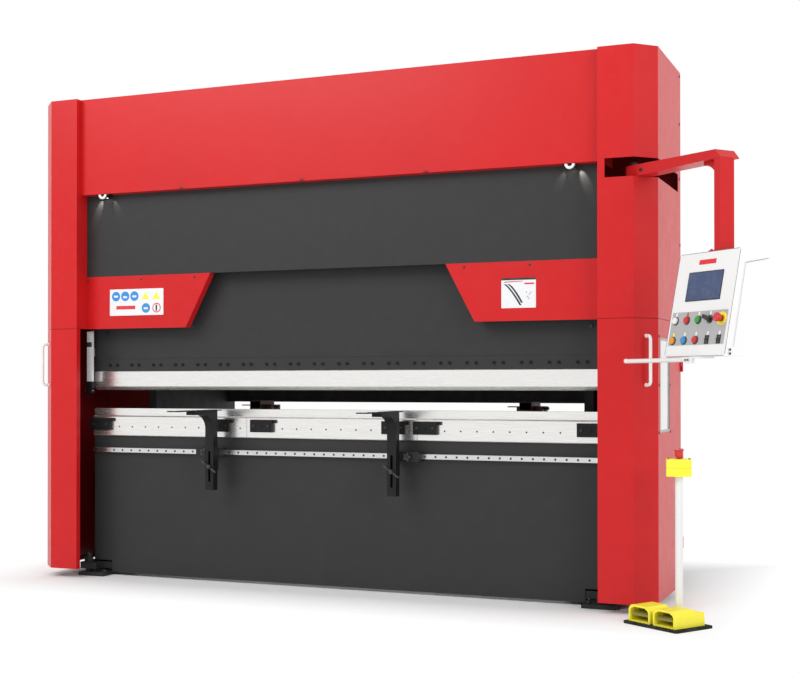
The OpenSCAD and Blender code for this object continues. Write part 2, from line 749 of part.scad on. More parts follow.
module star_knob() difference() {
    union() {
        rod_y(15, carriage_y - knob_t, carriage_y - gap);
        for (a = [0 : 72 : 359]) rotate([0, a, 0]) translate([15, 0, 0])
            rod_y(8, carriage_y - knob_t, carriage_y - 8);
    }
    rod_y(knob_pin_r + fit, carriage_y - knob_t - 1, carriage_y + 1);
}
module star_knob_left() color(black) at_front()
    translate([support_left_x - knob_off, 0, rail_z]) star_knob();
module star_knob_right() color(black) at_front()
    translate([support_right_x + knob_off, 0, rail_z]) star_knob();

// ---- Back gauge -----------------------------------------------------------------------
gauge_rail_x = frame_x - 340;
gauge_rail_w = 30;
gauge_top_z = gauge_bed_z + beam_h + gauge_rail_w;
gauge_y = 880;
gauge_post_x = gauge_rail_x - 240;
gauge_post_r = 15;
gauge_post_top_z = 935;
gauge_beam_z = 800;
gauge_beam_h = 60;
gauge_beam_d = 90;
gauge_beam_x = frame_x - 190;
gauge_carriage_d = 160;
finger_x = gauge_beam_x - 375;
finger_base_w = 150;
finger_z = die_z + 15;

module gauge_rails() color(steel) at_front() both_sides() {
    x = gauge_rail_x;
    box([x - gauge_rail_w / 2, bed_front_y, gauge_bed_z + beam_h],
        [x + gauge_rail_w / 2, bed_rear_y + beam_d, gauge_top_z]);
}
module gauge_carriage() color(steel) at_front() {
    z = gauge_top_z + gap;
    d = gauge_carriage_d / 2;
    box([-gauge_rail_x - 50, gauge_y - d, z], [gauge_rail_x + 50, gauge_y + d, z + 30]);
    for (s = [-1, 1]) {
        for (t = [-1, 1]) {
            x = s * gauge_rail_x + t * (gauge_rail_w / 2 + gap + 10);
            box([x - 10, gauge_y - d, gauge_bed_z + beam_h + 4], [x + 10, gauge_y + d, z]);
        }
        translate([s * gauge_post_x, gauge_y, z + 30])
            cylinder(r = gauge_post_r, h = gauge_post_top_z - z - 30);
    }
}
module gauge_beam() color([0.45, 0.46, 0.48]) at_front() difference() {
    translate([0, gauge_y, gauge_beam_z])
        box([-gauge_beam_x, -gauge_beam_d / 2, 0], [gauge_beam_x, gauge_beam_d / 2, gauge_beam_h]);
    for (s = [-1, 1]) translate([s * gauge_post_x, gauge_y, gauge_beam_z - 1])
        cylinder(r = gauge_post_r + fit, h = gauge_beam_h + 2);
}
// A finger saddle that slides along the beam, with its stop block on top
module finger() {
    z = gauge_beam_z + gauge_beam_h + gap;
    w = finger_base_w / 2;
    front = gauge_y - gauge_beam_d / 2 - gap;
    room = gauge_post_r + 8;
    box([-w, front - 12, gauge_beam_z + 10], [w, front, z]);
    difference() {
        box([-w, front - 12, z], [w, gauge_y + 60, finger_z]);
        // Room for the carriage's posts
        translate([0, gauge_y, 0]) box([-w - 1, -room, z - 1], [w + 1, room, gauge_post_top_z + 40]);
    }
    box([-40, gauge_y - 120, finger_z - 22], [32, gauge_y + 60, finger_z + 25]);
    box([-w - 50, gauge_y - 70, finger_z - 6], [-w, gauge_y - 20, finger_z]);
    rod_at(9, w, w + 24, gauge_y, finger_z - 12);
}
module finger_left() color([0.35, 0.1, 0.1]) at_front() translate([-finger_x, 0, 0]) finger();
module finger_right() color([0.35, 0.1, 0.1]) at_front() translate([finger_x + 172, 0, 0]) finger();

// ---- Swinging arm and pendant ---------------------------------------------------------
post_w = 40;
// Reach of the post past the pendant's pin, and width added to the beam at its end
post_end = 15;
beam_flare = 30;
module at_arm() at_front() translate([pivot_x, pivot_y, 0]) rotate([0, 0, -arm_angle]) children();
pivot_r = 15;
module control_arm() color(red) at_arm() difference() {
    post_x1 = arm_len + post_end;
    post_x0 = post_x1 - post_w;
    half_w = arm_w / 2;
    // Top of the foot plate over the pendant, and size of the gusset
    plate_z = 12;
    gusset = 110;
    union() {
        translate([0, 0, arm_z + gap]) cylinder(r = pin_r + 20, h = arm_h - gap);
        // Beam: tapered in height, with a slanted end, and widening to the back in plan
        intersection() {
            translate([0, arm_w, arm_z]) rotate([90, 0, 0]) linear_extrude(2 * arm_w) polygon([
                [0, gap], [post_x1, gap], [post_x1, gap + 4], [post_x0 + 8, arm_tip_h], [0, arm_h]
            ]);
            translate([0, 0, arm_z]) linear_extrude(arm_h) polygon([
                [0, -half_w], [post_x1, -half_w], [post_x1, half_w + beam_flare], [0, half_w]
            ]);
        }
        box([post_x0, -half_w, pendant_top_z + plate_z], [post_x1, half_w, arm_z + gap + 2]);
        // Curved gusset in the corner under the arm
        difference() {
            box([post_x0 - gusset, -5, arm_z - gusset], [post_x0, 5, arm_z + gap]);
            translate([post_x0 - gusset, 0, arm_z - gusset]) rod_y(gusset - 15, -6, 6);
            translate([post_x0 - 26, 0, arm_z - 26]) rod_y(7, -6, 6);
        }
        // Foot plate over the pendant and its pivot pin
        box([arm_len - 60, -45, pendant_top_z + gap], [arm_len + 60, 45, pendant_top_z + plate_z]);
        translate([arm_len, 0, pendant_top_z - 40]) cylinder(r = pivot_r, h = 45);
    }
    translate([0, 0, arm_z - 1]) cylinder(r = pin_r + fit, h = arm_h + 2);
}

// The pendant is drawn with its width along X, its panel to -Y and its pivot at the origin
tilt = atan2(pendant_lean, pendant_h);
panel_len = norm([pendant_lean, pendant_h]);
shell = 3;
front_top_y = -pendant_top_d / 2;
panel_t = 4;
module at_pendant() at_arm() translate([arm_len, 0, pendant_top_z]) children();
// The panel's own frame: X across, Y up along the panel from its lower edge, Z out of it
module on_panel() at_pendant() translate([0, front_top_y - pendant_lean, -pendant_h])
    rotate([90 - tilt, 0, 0]) children();
// Side view of the case, its walls drawn in by t and its front by f
module pendant_side(t, f) {
    polygon([
        [front_top_y + f - (t - f), -t], [front_top_y - pendant_lean + f - (t - f), -pendant_h + t],
        [front_top_y - pendant_lean + pendant_bottom_d - t, -pendant_h + t], [pendant_top_d / 2 - t, -t]
    ]);
}
row_up = [74, 166];
col_at = [for (i = [-2 : 2]) i * button_pitch - 5];
stem_r = 8;
// Places of the controls on the panel: across, up, stem radius
controls = [
    [col_at[0], row_up[1], stem_r], [col_at[1], row_up[1], stem_r], [col_at[2], row_up[1], stem_r],
    [col_at[3], row_up[1], stem_r], [col_at[4], row_up[1], 11],
    [col_at[0], row_up[0], stem_r], [col_at[1], row_up[0], stem_r], [col_at[2], row_up[0], stem_r]
];
// Half width of the case behind the panel, and how far it reaches into the panel
case_x = pendant_w / 2 - 6;
panel_lap = 1;
rocker_w = 16;
rocker_r = 11;
rocker_pin_z = -2;
module pendant() color(ivory) {
    slot_x = rocker_w / 2 + gap;
    slot_y = rocker_r + gap;
    at_pendant() difference() {
        union() {
            difference() {
                along_x(-case_x, case_x) pendant_side(0, -panel_lap / 2);
                along_x(shell - case_x, case_x - shell) pendant_side(shell, 0);
            }
            translate([0, 0, -45]) cylinder(r = pivot_r + 13, h = 45 - shell / 2);
        }
        translate([0, 0, -41]) cylinder(r = pivot_r + fit, h = 45);
    }
    on_panel() difference() {
        linear_extrude(panel_t) round_rect([-pendant_w / 2, 0], [pendant_w / 2, panel_len], 10);
        for (c = controls) translate([c[0], c[1], -2]) cylinder(r = c[2] + fit, h = panel_t + 3);
        for (i = [3, 4]) translate([col_at[i], row_up[0], 0])
            box([-slot_x, -slot_y, -2], [slot_x, slot_y, panel_t + 1]);
    }
}
clamp_x = 60;
clamp_w = 16;
strap_t = 8;
module pendant_handle() color(ivory) at_pendant() {
    // Round bar held by a bracket under the panel's lower edge
    y = front_top_y - pendant_lean - handle_bar_r - 16;
    z = -pendant_h - 14;
    grip = handle_bar_r + 4;
    rod_at(handle_bar_r, -handle_bar_len, 0, y, z);
    // Clamp round the bar's end, and the strap that holds it under the pendant
    box([-clamp_w, y - grip, z - grip - 2], [clamp_w, y + grip, z + grip - 2]);
    box([-clamp_w, y, -pendant_h - strap_t], [clamp_x, y + 90, -pendant_h]);
}
// A push button: cap radius and height over the panel
module push_button(i, cap_r, cap_h, travel) on_panel() translate([controls[i][0], controls[i][1], 0]) {
    translate([0, 0, -12]) cylinder(r = controls[i][2], h = 12 + panel_t + travel + gap);
    translate([0, 0, panel_t + travel + gap]) cylinder(r = cap_r, h = cap_h);
}
button_r = 15;
button_h = 7;
travel = 4;
module button_white() color([0.95, 0.95, 0.95]) push_button(0, button_r, button_h, travel);
module button_red() color(red) push_button(1, button_r, button_h, travel);
module button_green() color([0.1, 0.6, 0.3]) push_button(2, button_r, button_h, travel);
module button_orange() color([0.95, 0.5, 0.1]) push_button(5, button_r, button_h, travel);
module button_blue() color([0.15, 0.3, 0.75]) push_button(6, button_r, button_h, travel);
module button_reset() color(red) push_button(7, button_r, button_h, travel);
module pendant_stop() color(red) on_panel() translate([controls[4][0], controls[4][1], 0]) {
    translate([0, 0, -12]) cylinder(r = controls[4][2], h = 50);
    translate([0, 0, panel_t + 12]) cylinder(r1 = 14, r2 = 20, h = 12);
    translate([0, 0, panel_t + 24]) cylinder(r = 20, h = 10);
}
// The lever points up and to the left
lever_angle = 70;
module selector_lever() color(black) on_panel() translate([controls[3][0], controls[3][1], 0]) {
    translate([0, 0, -12]) cylinder(r = controls[3][2], h = 12 + panel_t + 2);
    translate([0, 0, panel_t + gap]) cylinder(r = 13, h = 8);
    rotate([0, 0, lever_angle]) box([-9, -10, panel_t + 7], [9, 38, panel_t + 19]);
}
module rocker(i) on_panel() translate([col_at[i], row_up[0], rocker_pin_z]) {
    rod_x(rocker_r, -rocker_w / 2, rocker_w / 2);
    box([-rocker_w / 2, -3, 0], [rocker_w / 2, 3, rocker_r + 6]);
}
module rocker_left() color(black) rocker(3);
module rocker_right() color(black) rocker(4);

// ---- Pedal stand ----------------------------------------------------------------------
stand_at = [1710, -210];
post_at = [197, 171];
hood_x = [22, 178];
hood_y = 18;
pedal_t = 12;
pedal_w = 96;
pedal_pin_r = 5;
pedal_pin_y = hood_y + hood_d - 24;
pedal_pin_z = mat_t + 34;

module at_stand() at_front()
    translate([stand_at[0], stand_at[1], 0]) rotate([0, 0, -stand_angle]) children();
module stand_base() color(black) at_stand() {
    linear_extrude(mat_t) round_rect([0, 0], [mat_w, mat_d], 12);
}
module hood(x) translate([x, hood_y, mat_t]) {
    inner = hood_w - 2 * hood_wall;
    depth = hood_d - hood_wall + 1;
    // Radii of the rounded top, outside and inside, and thickness of the floor
    outer_r = 30;
    inner_r = 20;
    floor_t = 8;
    spring_z = hood_h - hood_wall - inner_r - 4;
    difference() {
        translate([0, hood_d, 0]) rotate([90, 0, 0]) linear_extrude(hood_d) {
            square([hood_w, hood_h - outer_r]);
            translate([outer_r, 0]) square([hood_w - 2 * outer_r, hood_h]);
            for (c = [outer_r, hood_w - outer_r]) translate([c, hood_h - outer_r]) circle(outer_r);
        }
        translate([hood_wall, -1, floor_t]) cube([inner, depth, spring_z - floor_t]);
        translate([hood_wall + inner_r, -1, floor_t])
            cube([inner - 2 * inner_r, depth, hood_h - floor_t - hood_wall]);
        for (c = [hood_wall + inner_r, hood_w - hood_wall - inner_r])
            translate([c, -1, spring_z]) rotate([-90, 0, 0]) cylinder(r = inner_r, h = depth);
    }
    // Pin of the pedal, across the hood
    rod_at(pedal_pin_r, hood_wall, hood_w - hood_wall, pedal_pin_y - hood_y, pedal_pin_z - mat_t);
}
module rod_at(r, x0, x1, y, z) { translate([0, y, z]) rod_x(r, x0, x1); }
module pedal_hoods() color(yellow) at_stand() {
    for (x = hood_x) hood(x);
    // Terminal block behind the right hood
    along_x(hood_x[1] + 50, hood_x[1] + hood_w) polygon([
        [hood_y + hood_d, mat_t], [mat_d - 29, mat_t], [mat_d - 33, mat_t + hood_h - 18],
        [hood_y + hood_d, mat_t + hood_h - 14]
    ]);
}
module pedal(x) translate([x + hood_w / 2, 0, 0]) {
    w = pedal_w / 2;
    top = pedal_pin_z + pedal_t - 4;
    difference() {
        union() {
            rod_at(pedal_pin_r + 5, -w, w, pedal_pin_y, pedal_pin_z);
            box([-w, hood_y + 8, pedal_pin_z - 4], [w, pedal_pin_y, top]);
            // Grip ribs across the tread
            for (i = [0 : 4]) translate([0, hood_y + 16 + 16 * i, top]) box([8 - w, 0, 0], [w - 8, 6, 2]);
        }
        rod_at(pedal_pin_r + fit, -w - 1, w + 1, pedal_pin_y, pedal_pin_z);
    }
}
module pedal_left() color(black) at_stand() pedal(hood_x[0]);
module pedal_right() color(black) at_stand() pedal(hood_x[1]);

stop_w = 116;
stop_d = 92;
stop_h = 80;
stop_stem_r = 10;
stop_cap_r = 19;
// Turn of the stop box on its post, against the stand
stop_turn = stand_angle + 10;
module at_stop_box() at_stand()
    translate([post_at[0], post_at[1], stop_box_z]) rotate([0, 0, stop_turn]) children();

module stand_post() color(ivory) at_stand() translate([post_at[0], post_at[1], 0]) {
    translate([0, 0, mat_t]) cylinder(r = post_r, h = stop_box_z - stop_h - mat_t);
    translate([0, 0, mat_t]) cylinder(r = post_r + 4, h = 30);
}
module stop_box() color(yellow) at_stop_box() difference() {
    translate([0, 0, -stop_h]) linear_extrude(stop_h)
        round_rect([-stop_w / 2, -stop_d / 2], [stop_w / 2, stop_d / 2], 8);
    // Seam between the box and its lid
    translate([0, 0, -stop_h * 0.52]) linear_extrude(2) difference() {
        square([stop_w + 10, stop_d + 10], center = true);
        round_rect([-stop_w / 2 + 2, -stop_d / 2 + 2], [stop_w / 2 - 2, stop_d / 2 - 2], 6);
    }
    translate([0, 0, -24]) cylinder(r = stop_stem_r + fit, h = 40);
}
// Palm button: stem, tapered body and a thin flange on top
module stand_stop() color(red) at_stop_box() {
    translate([0, 0, -12]) cylinder(r = stop_stem_r, h = 22);
    translate([0, 0, 8]) cylinder(r1 = stop_cap_r - 3, r2 = stop_cap_r, h = 8);
    translate([0, 0, 16]) cylinder(r = stop_cap_r, h = 23);
    translate([0, 0, 38]) cylinder(r = stop_cap_r + 4, h = 5);
}

side_frames();
cross_beams();
table_beam();
header_cover();
front_panel();
wing_covers();
column_covers();
machine_feet();
cylinders();
work_lamps();
ram_guides();
linear_scales();
die_holders();
die();
die_clamps();
front_rail();
gauge_rails();
oil_tank();
pump_motor();
control_gear();
stand_base();
pedal_hoods();
stand_post();
stop_box();
ram_plate();
punch();
punch_screws();
piston_rods();
door_left();
door_right();
door_handle_left();
door_handle_right();
carriage_left();
carriage_right();
support_left();
support_right();
clamp_lever_left();
clamp_lever_right();
star_knob_left();
star_knob_right();
gauge_carriage();
gauge_beam();
finger_left();
finger_right();
control_arm();
pendant();
pendant_handle();
button_white();
button_red();
button_green();
selector_lever();
pendant_stop();
button_orange();
button_blue();
button_reset();
rocker_left();
rocker_right();
pedal_left();
pedal_right();
stand_stop();
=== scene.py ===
import json
import math
import bpy
import numpy as np
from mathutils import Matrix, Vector


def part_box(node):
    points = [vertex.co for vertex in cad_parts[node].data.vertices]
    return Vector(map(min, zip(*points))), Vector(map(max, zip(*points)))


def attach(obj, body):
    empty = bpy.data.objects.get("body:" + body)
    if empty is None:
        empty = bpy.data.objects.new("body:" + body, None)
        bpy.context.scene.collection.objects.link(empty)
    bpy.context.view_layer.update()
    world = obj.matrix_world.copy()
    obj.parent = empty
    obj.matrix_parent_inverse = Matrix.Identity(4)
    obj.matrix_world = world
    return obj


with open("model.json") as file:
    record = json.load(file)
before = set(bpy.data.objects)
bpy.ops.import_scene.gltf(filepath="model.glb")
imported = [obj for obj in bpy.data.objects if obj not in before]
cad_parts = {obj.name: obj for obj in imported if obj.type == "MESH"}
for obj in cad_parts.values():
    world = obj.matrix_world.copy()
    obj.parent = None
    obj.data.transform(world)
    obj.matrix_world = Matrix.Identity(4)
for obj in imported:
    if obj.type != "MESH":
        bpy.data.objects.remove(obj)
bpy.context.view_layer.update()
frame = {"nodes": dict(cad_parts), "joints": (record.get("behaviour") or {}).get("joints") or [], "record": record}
NODES = frame["nodes"]
JOINTS = {j["name"]: j for j in frame["joints"]}
X, Y, Z = np.eye(3)
FILM = {"Color": "c", "Roughness": "f", "Height": "f"}   # what every surface group gives out
SIN45 = 0.7071
COVER_RED = (0.585, 0.011, 0.013)


# ---------------------------------------------------------------- node groups and materials
def new_group(name, inputs):
    """A shader node group that gives out FILM, with float or colour inputs: name -> (kind, default)."""
    g = bpy.data.node_groups.new(name, "ShaderNodeTree")
    kinds = {"c": "NodeSocketColor", "f": "NodeSocketFloat"}
    for n, (k, d) in inputs.items():
        s = g.interface.new_socket(n, in_out="INPUT", socket_type=kinds[k])
        s.default_value = (*d, 1) if k == "c" else d
    for n, k in FILM.items():
        g.interface.new_socket(n, in_out="OUTPUT", socket_type=kinds[k])
    return g, g.nodes.new("NodeGroupInput"), g.nodes.new("NodeGroupOutput")


def node(tree, kind, **values):
    """A node with properties and input defaults set by name."""
    n = tree.nodes.new(kind)
    for k, v in values.items():
        if hasattr(n, k):
            setattr(n, k, v)
        else:
            n.inputs[k.replace("_", " ")].default_value = v
    return n


def noise(tree, scale, detail=4.0, rough=0.55, stretch=(1, 1, 1)):
    """Noise in object coordinates, stretched along the axes."""
    co = tree.nodes.new("ShaderNodeTexCoord")
    mp = node(tree, "ShaderNodeMapping")
    mp.inputs["Scale"].default_value = stretch
    tree.links.new(co.outputs["Object"], mp.inputs["Vector"])
    nz = node(tree, "ShaderNodeTexNoise", Scale=scale, Detail=detail, Roughness=rough)
    tree.links.new(mp.outputs[0], nz.inputs["Vector"])
    return nz.outputs["Fac"]


def ramp(tree, value, lo, hi, a=0.0, b=1.0):
    """Linear map of a value from lo..hi to a..b, clamped."""
    m = tree.nodes.new("ShaderNodeMapRange")
    for i, v in zip((1, 2, 3, 4), (lo, hi, a, b)):
        m.inputs[i].default_value = v
    tree.links.new(value, m.inputs[0])
    return m.outputs[0]


def math2(tree, op, a, b):
    """A math node on two values, each a number or a socket."""
    m = node(tree, "ShaderNodeMath", operation=op)
    for i, v in enumerate((a, b)):
        if isinstance(v, (int, float)):
            m.inputs[i].default_value = v
        else:
            tree.links.new(v, m.inputs[i])
    return m.outputs[0]


def mix(tree, fac, a, b):
    """Colour mix from a to b; each value is a number, a colour or a socket."""
    m = node(tree, "ShaderNodeMix", data_type="RGBA")
    for i, v in ((0, fac), (6, a), (7, b)):
        if hasattr(v, "is_linked"):
            tree.links.new(v, m.inputs[i])
        elif isinstance(v, (int, float)):
            m.inputs[i].default_value = v
        else:
            m.inputs[i].default_value = (*v, 1)
    return m.outputs[2]


def group_paint():
    """Sprayed paint: faint shade drift, dust film, orange peel."""
    g, i, o = new_group("paint_film", {
        "Color": ("c", (0.5, 0.5, 0.5)), "Rough": ("f", 0.3), "Dust": ("f", 0.04)})
    big = noise(g, 1.7, 3)
    fine = noise(g, 900.0, 2, 0.5)
    dust = noise(g, 14.0, 6, 0.7)
    shade = mix(g, ramp(g, big, 0.3, 0.7, 0.0, 0.05), i.outputs["Color"], (0.02, 0.02, 0.02))
    film = math2(g, "MULTIPLY", ramp(g, dust, 0.45, 0.75), i.outputs["Dust"])
    g.links.new(mix(g, film, shade, (0.62, 0.6, 0.57)), o.inputs["Color"])
    r = math2(g, "ADD", i.outputs["Rough"], ramp(g, dust, 0.3, 0.8, -0.03, 0.07))
    g.links.new(r, o.inputs["Roughness"])
    g.links.new(fine, o.inputs["Height"])
    return g


def group_ground():
    """Ground steel: fine grinding lines along X, faint stains."""
    g, i, o = new_group("ground_steel", {
        "Color": ("c", (0.6, 0.6, 0.6)), "Rough": ("f", 0.25), "Stain": ("f", 0.1)})
    lines = noise(g, 60.0, 4, 0.6, (0.15, 9, 9))
    blot = noise(g, 9.0, 5, 0.65)
    c = mix(g, ramp(g, lines, 0.35, 0.65, 0.0, 0.22), i.outputs["Color"], (0.3, 0.3, 0.3))
    s = math2(g, "MULTIPLY", ramp(g, blot, 0.5, 0.8), i.outputs["Stain"])
    g.links.new(mix(g, s, c, (0.25, 0.2, 0.16)), o.inputs["Color"])
    rough = math2(g, "ADD", i.outputs["Rough"], ramp(g, lines, 0.3, 0.7, -0.05, 0.1))
    g.links.new(rough, o.inputs["Roughness"])
    g.links.new(lines, o.inputs["Height"])
    return g


def group_moulded():
    """Moulded plastic or rubber: fine spark-eroded grain and handling marks."""
    g, i, o = new_group("moulded", {
        "Color": ("c", (0.1, 0.1, 0.1)), "Rough": ("f", 0.45), "Grain": ("f", 1400.0)})
    co = g.nodes.new("ShaderNodeTexCoord")
    nz = node(g, "ShaderNodeTexNoise", Detail=2.0)
    g.links.new(co.outputs["Object"], nz.inputs["Vector"])
    g.links.new(i.outputs["Grain"], nz.inputs["Scale"])
    marks = noise(g, 22.0, 5, 0.65)
    color = mix(g, ramp(g, marks, 0.45, 0.8, 0.0, 0.12), i.outputs["Color"], (0.45, 0.44, 0.43))
    g.links.new(color, o.inputs["Color"])
    rough = math2(g, "ADD", i.outputs["Rough"], ramp(g, marks, 0.3, 0.7, -0.05, 0.08))
    g.links.new(rough, o.inputs["Roughness"])
    g.links.new(nz.outputs["Fac"], o.inputs["Height"])
    return g


PAINT, GROUND, MOULDED = group_paint(), group_ground(), group_moulded()


def material(name, group, color, rough, extra, bump=0.05, dist=0.0002, **shader):
    """A Principled material fed by one of the groups; constants sit on the shader's own sockets."""
    m = bpy.data.materials.new(name)
    m.use_nodes = True
    t = m.node_tree
    b = t.nodes["Principled BSDF"]
    g = node(t, "ShaderNodeGroup", node_tree=group)
    g.inputs[0].default_value = (*color, 1)
    g.inputs[1].default_value = rough
    g.inputs[2].default_value = extra
    t.links.new(g.outputs["Color"], b.inputs["Base Color"])
    t.links.new(g.outputs["Roughness"], b.inputs["Roughness"])
    bp = node(t, "ShaderNodeBump", Strength=bump, Distance=dist)
    t.links.new(g.outputs["Height"], bp.inputs["Height"])
    t.links.new(bp.outputs[0], b.inputs["Normal"])
    for k, v in shader.items():
        b.inputs[k.replace("_", " ")].default_value = v
    m.diffuse_color = (*color, 1)
    return m


def paint(name, color, rough=0.3, dust=0.03, coat=0.4, bump=0.06, spec=0.3):
    return material(name, PAINT, color, rough, dust, bump, Coat_Weight=coat, Coat_Roughness=0.12,
                    Specular_IOR_Level=spec)


def steel(name, color, rough=0.25, stain=0.08, metallic=1.0):
    return material(name, GROUND, color, rough, stain, 0.12, 0.0001, Metallic=metallic)


def plastic(name, color, rough=0.42, grain=1400.0, bump=0.12, **k):
    return material(name, MOULDED, color, rough, grain, bump, 0.0002, **k)


RED = paint("cover_red_paint", COVER_RED, 0.32, 0.008, 0.02, 0.04, 0.25)
DARK = paint("dark_grey_paint", (0.031, 0.031, 0.031), 0.42, 0.008, 0.0, 0.05, 0.22)
RAM = paint("ram_grey_paint", (0.031, 0.031, 0.031), 0.42, 0.008, 0.0, 0.05, 0.22)
FRAME = paint("frame_grey_paint", (0.030, 0.030, 0.031), 0.55, 0.04, 0.0, 0.06, 0.2)
BLACK = paint("black_paint", (0.008, 0.008, 0.009), 0.45, 0.01, 0.0, 0.06, 0.2)
CARRIAGE = paint("carriage_grey_paint", (0.022, 0.022, 0.022), 0.45, 0.01, 0.0, 0.06, 0.2)
WHITE = paint("white_paint", (0.82, 0.82, 0.81), 0.34, 0.02, 0.3)
GREY = paint("light_grey_paint", (0.48, 0.49, 0.5), 0.4, 0.04, 0.1)
TANK = paint("tank_grey_paint", (0.11, 0.12, 0.13), 0.45, 0.08, 0.1)
BLUE_PAINT = paint("motor_blue_paint", (0.02, 0.05, 0.1), 0.4, 0.08, 0.2)
GAUGE = paint("gauge_red_paint", (0.09, 0.012, 0.013), 0.4, 0.05, 0.1)
TOOL = steel("tool_steel", (0.87, 0.86, 0.84), 0.2, 0.02, 0.9)
GRIND = steel("ground_steel_faces", (0.7, 0.7, 0.69), 0.24, 0.03)
MACHINED = steel("machined_steel", (0.66, 0.67, 0.68), 0.28, 0.06)
ZINC = steel("zinc_screw", (0.55, 0.55, 0.56), 0.3, 0.1)
OXIDE = steel("black_oxide_screw", (0.03, 0.03, 0.032), 0.38, 0.04, 0.8)
CHROME = steel("hard_chrome", (0.85, 0.86, 0.88), 0.08, 0.02)
PLASTIC = plastic("black_plastic", (0.018, 0.018, 0.018), 0.42)
RUBBER = plastic("black_rubber", (0.012, 0.012, 0.011), 0.8, 900.0, 0.3, Specular_IOR_Level=0.15)
YELLOW = plastic("yellow_plastic", (0.96, 0.86, 0.035), 0.36, 1200.0, 0.06)
IVORY = plastic("white_plastic", (0.82, 0.81, 0.78), 0.4)
PENDANT = paint("pendant_white", (0.86, 0.865, 0.86), 0.32, 0.015, 0.3)
FIELD = plastic("field_grey", (0.43, 0.43, 0.43), 0.45, 1800.0, 0.05)
RED_PL = plastic("red_plastic", (0.62, 0.02, 0.025), 0.3, 1500.0, 0.03)
GREEN_PL = plastic("green_plastic", (0.03, 0.32, 0.035), 0.3, 1500.0, 0.03)
ORANGE_PL = plastic("orange_plastic", (0.8, 0.3, 0.015), 0.3, 1500.0, 0.03)
BLUE_PL = plastic("blue_plastic", (0.03, 0.26, 0.62), 0.3, 1500.0, 0.03)
WHITE_PL = plastic("lamp_white_plastic", (0.85, 0.85, 0.85), 0.3, 1500.0, 0.03)
SIGN_WHITE = plastic("sign_white", (0.8, 0.81, 0.83), 0.36, 700.0, 0.02)
SIGN_BLUE = plastic("sign_blue", (0.02, 0.25, 0.66), 0.36, 700.0, 0.02)
SIGN_YELLOW = plastic("sign_yellow", (0.95, 0.85, 0.05), 0.36, 700.0, 0.02)
SIGN_RED = plastic("sign_red", (0.72, 0.02, 0.03), 0.36, 700.0, 0.02)
SIGN_DARK = plastic("sign_dark", (0.008, 0.008, 0.009), 0.4, 700.0, 0.02)
SCREEN = plastic("screen_face", (0.055, 0.085, 0.175), 0.2, 2500.0, 0.0, Specular_IOR_Level=0.25)
PANE = plastic("window_pane", (0.8, 0.78, 0.77), 0.16, 300.0, 0.0, Coat_Weight=0.5, Coat_Roughness=0.05)
SEAM = plastic("seam_grey", (0.13, 0.13, 0.135), 0.5, 900.0, 0.02)
FOOT = paint("foot_grey_paint", (0.022, 0.022, 0.022), 0.5, 0.02, 0.0, 0.05, 0.2)
# Painted shade: the pedals are yellow, darkened to the shade they lie in under the hoods
PEDAL_SHADE_YELLOW = plastic("pedal_yellow_painted_shade", (0.25, 0.21, 0.02), 0.5, 900.0, 0.08)
LENS = plastic("lamp_lens", (1.0, 0.98, 0.9), 0.2, 800.0, 0.0,
               Emission_Color=(1, 0.96, 0.86, 1), Emission_Strength=6.0)

BY_SLOT = {
    "cover_red": RED, "frame_dark": FRAME, "ram_dark": RAM, "black_steel": BLACK, "tool_steel": TOOL,
    "machined": MACHINED, "white_paint": WHITE, "chrome": CHROME, "tank_grey": TANK, "motor_blue": BLUE_PAINT,
    "gear_grey": GREY, "rubber": RUBBER, "yellow": YELLOW, "black_plastic": PLASTIC, "gauge_red": GAUGE,
    "btn_white": WHITE_PL, "btn_red": RED_PL, "btn_green": GREEN_PL, "btn_orange": ORANGE_PL, "btn_blue": BLUE_PL,
}


def group_cover(col_out, col_in, front_y, back_y, top, corner, wall, shift):
    """Red paint with painted shade inside a folded column cover: the mask is 1, and the red darker,
    where a point lies more than half the sheet's thickness behind every outer face."""
    g, i, o = new_group("cover_inside_painted_shade", {
        "Color": ("c", (0.5, 0.1, 0.1)), "Rough": ("f", 0.3), "Dust": ("f", 0.02)})
    co = g.nodes.new("ShaderNodeTexCoord")
    mp = node(g, "ShaderNodeMapping")
    mp.inputs["Location"].default_value = shift
    g.links.new(co.outputs["Object"], mp.inputs["Vector"])
    xyz = g.nodes.new("ShaderNodeSeparateXYZ")
    g.links.new(mp.outputs[0], xyz.inputs[0])
    ax = math2(g, "ABSOLUTE", xyz.outputs["X"], 0.0)
    side = math2(g, "SUBTRACT", col_out, ax)
    front = math2(g, "SUBTRACT", xyz.outputs["Y"], front_y)
    fold = math2(g, "MULTIPLY", math2(g, "SUBTRACT", math2(g, "ADD", side, front), corner), SIN45)
    inner = math2(g, "MAXIMUM", math2(g, "SUBTRACT", ax, col_in), math2(g, "SUBTRACT", front, wall))
    rear = math2(g, "SUBTRACT", back_y, xyz.outputs["Y"])
    roof = math2(g, "SUBTRACT", top, xyz.outputs["Z"])
    deep = side
    for d in (front, fold, inner, rear, roof):
        deep = math2(g, "MINIMUM", deep, d)
    film = node(g, "ShaderNodeGroup", node_tree=PAINT)
    for n in ("Color", "Rough", "Dust"):
        g.links.new(i.outputs[n], film.inputs[n])
    inside_shade_mask = math2(g, "GREATER_THAN", deep, 0.0015)   # half a sheet
    # Painted shade: the inside of the sheet, red on both sides in the real cover, gets a darker red
    g.links.new(mix(g, inside_shade_mask, film.outputs["Color"], (0.28, 0.010, 0.013)), o.inputs["Color"])
    g.links.new(film.outputs["Roughness"], o.inputs["Roughness"])
    g.links.new(film.outputs["Height"], o.inputs["Height"])
    return g


def dress(name, mat):
    """Gives a CAD node one material."""
    for s in NODES[name].material_slots:
        s.material = mat


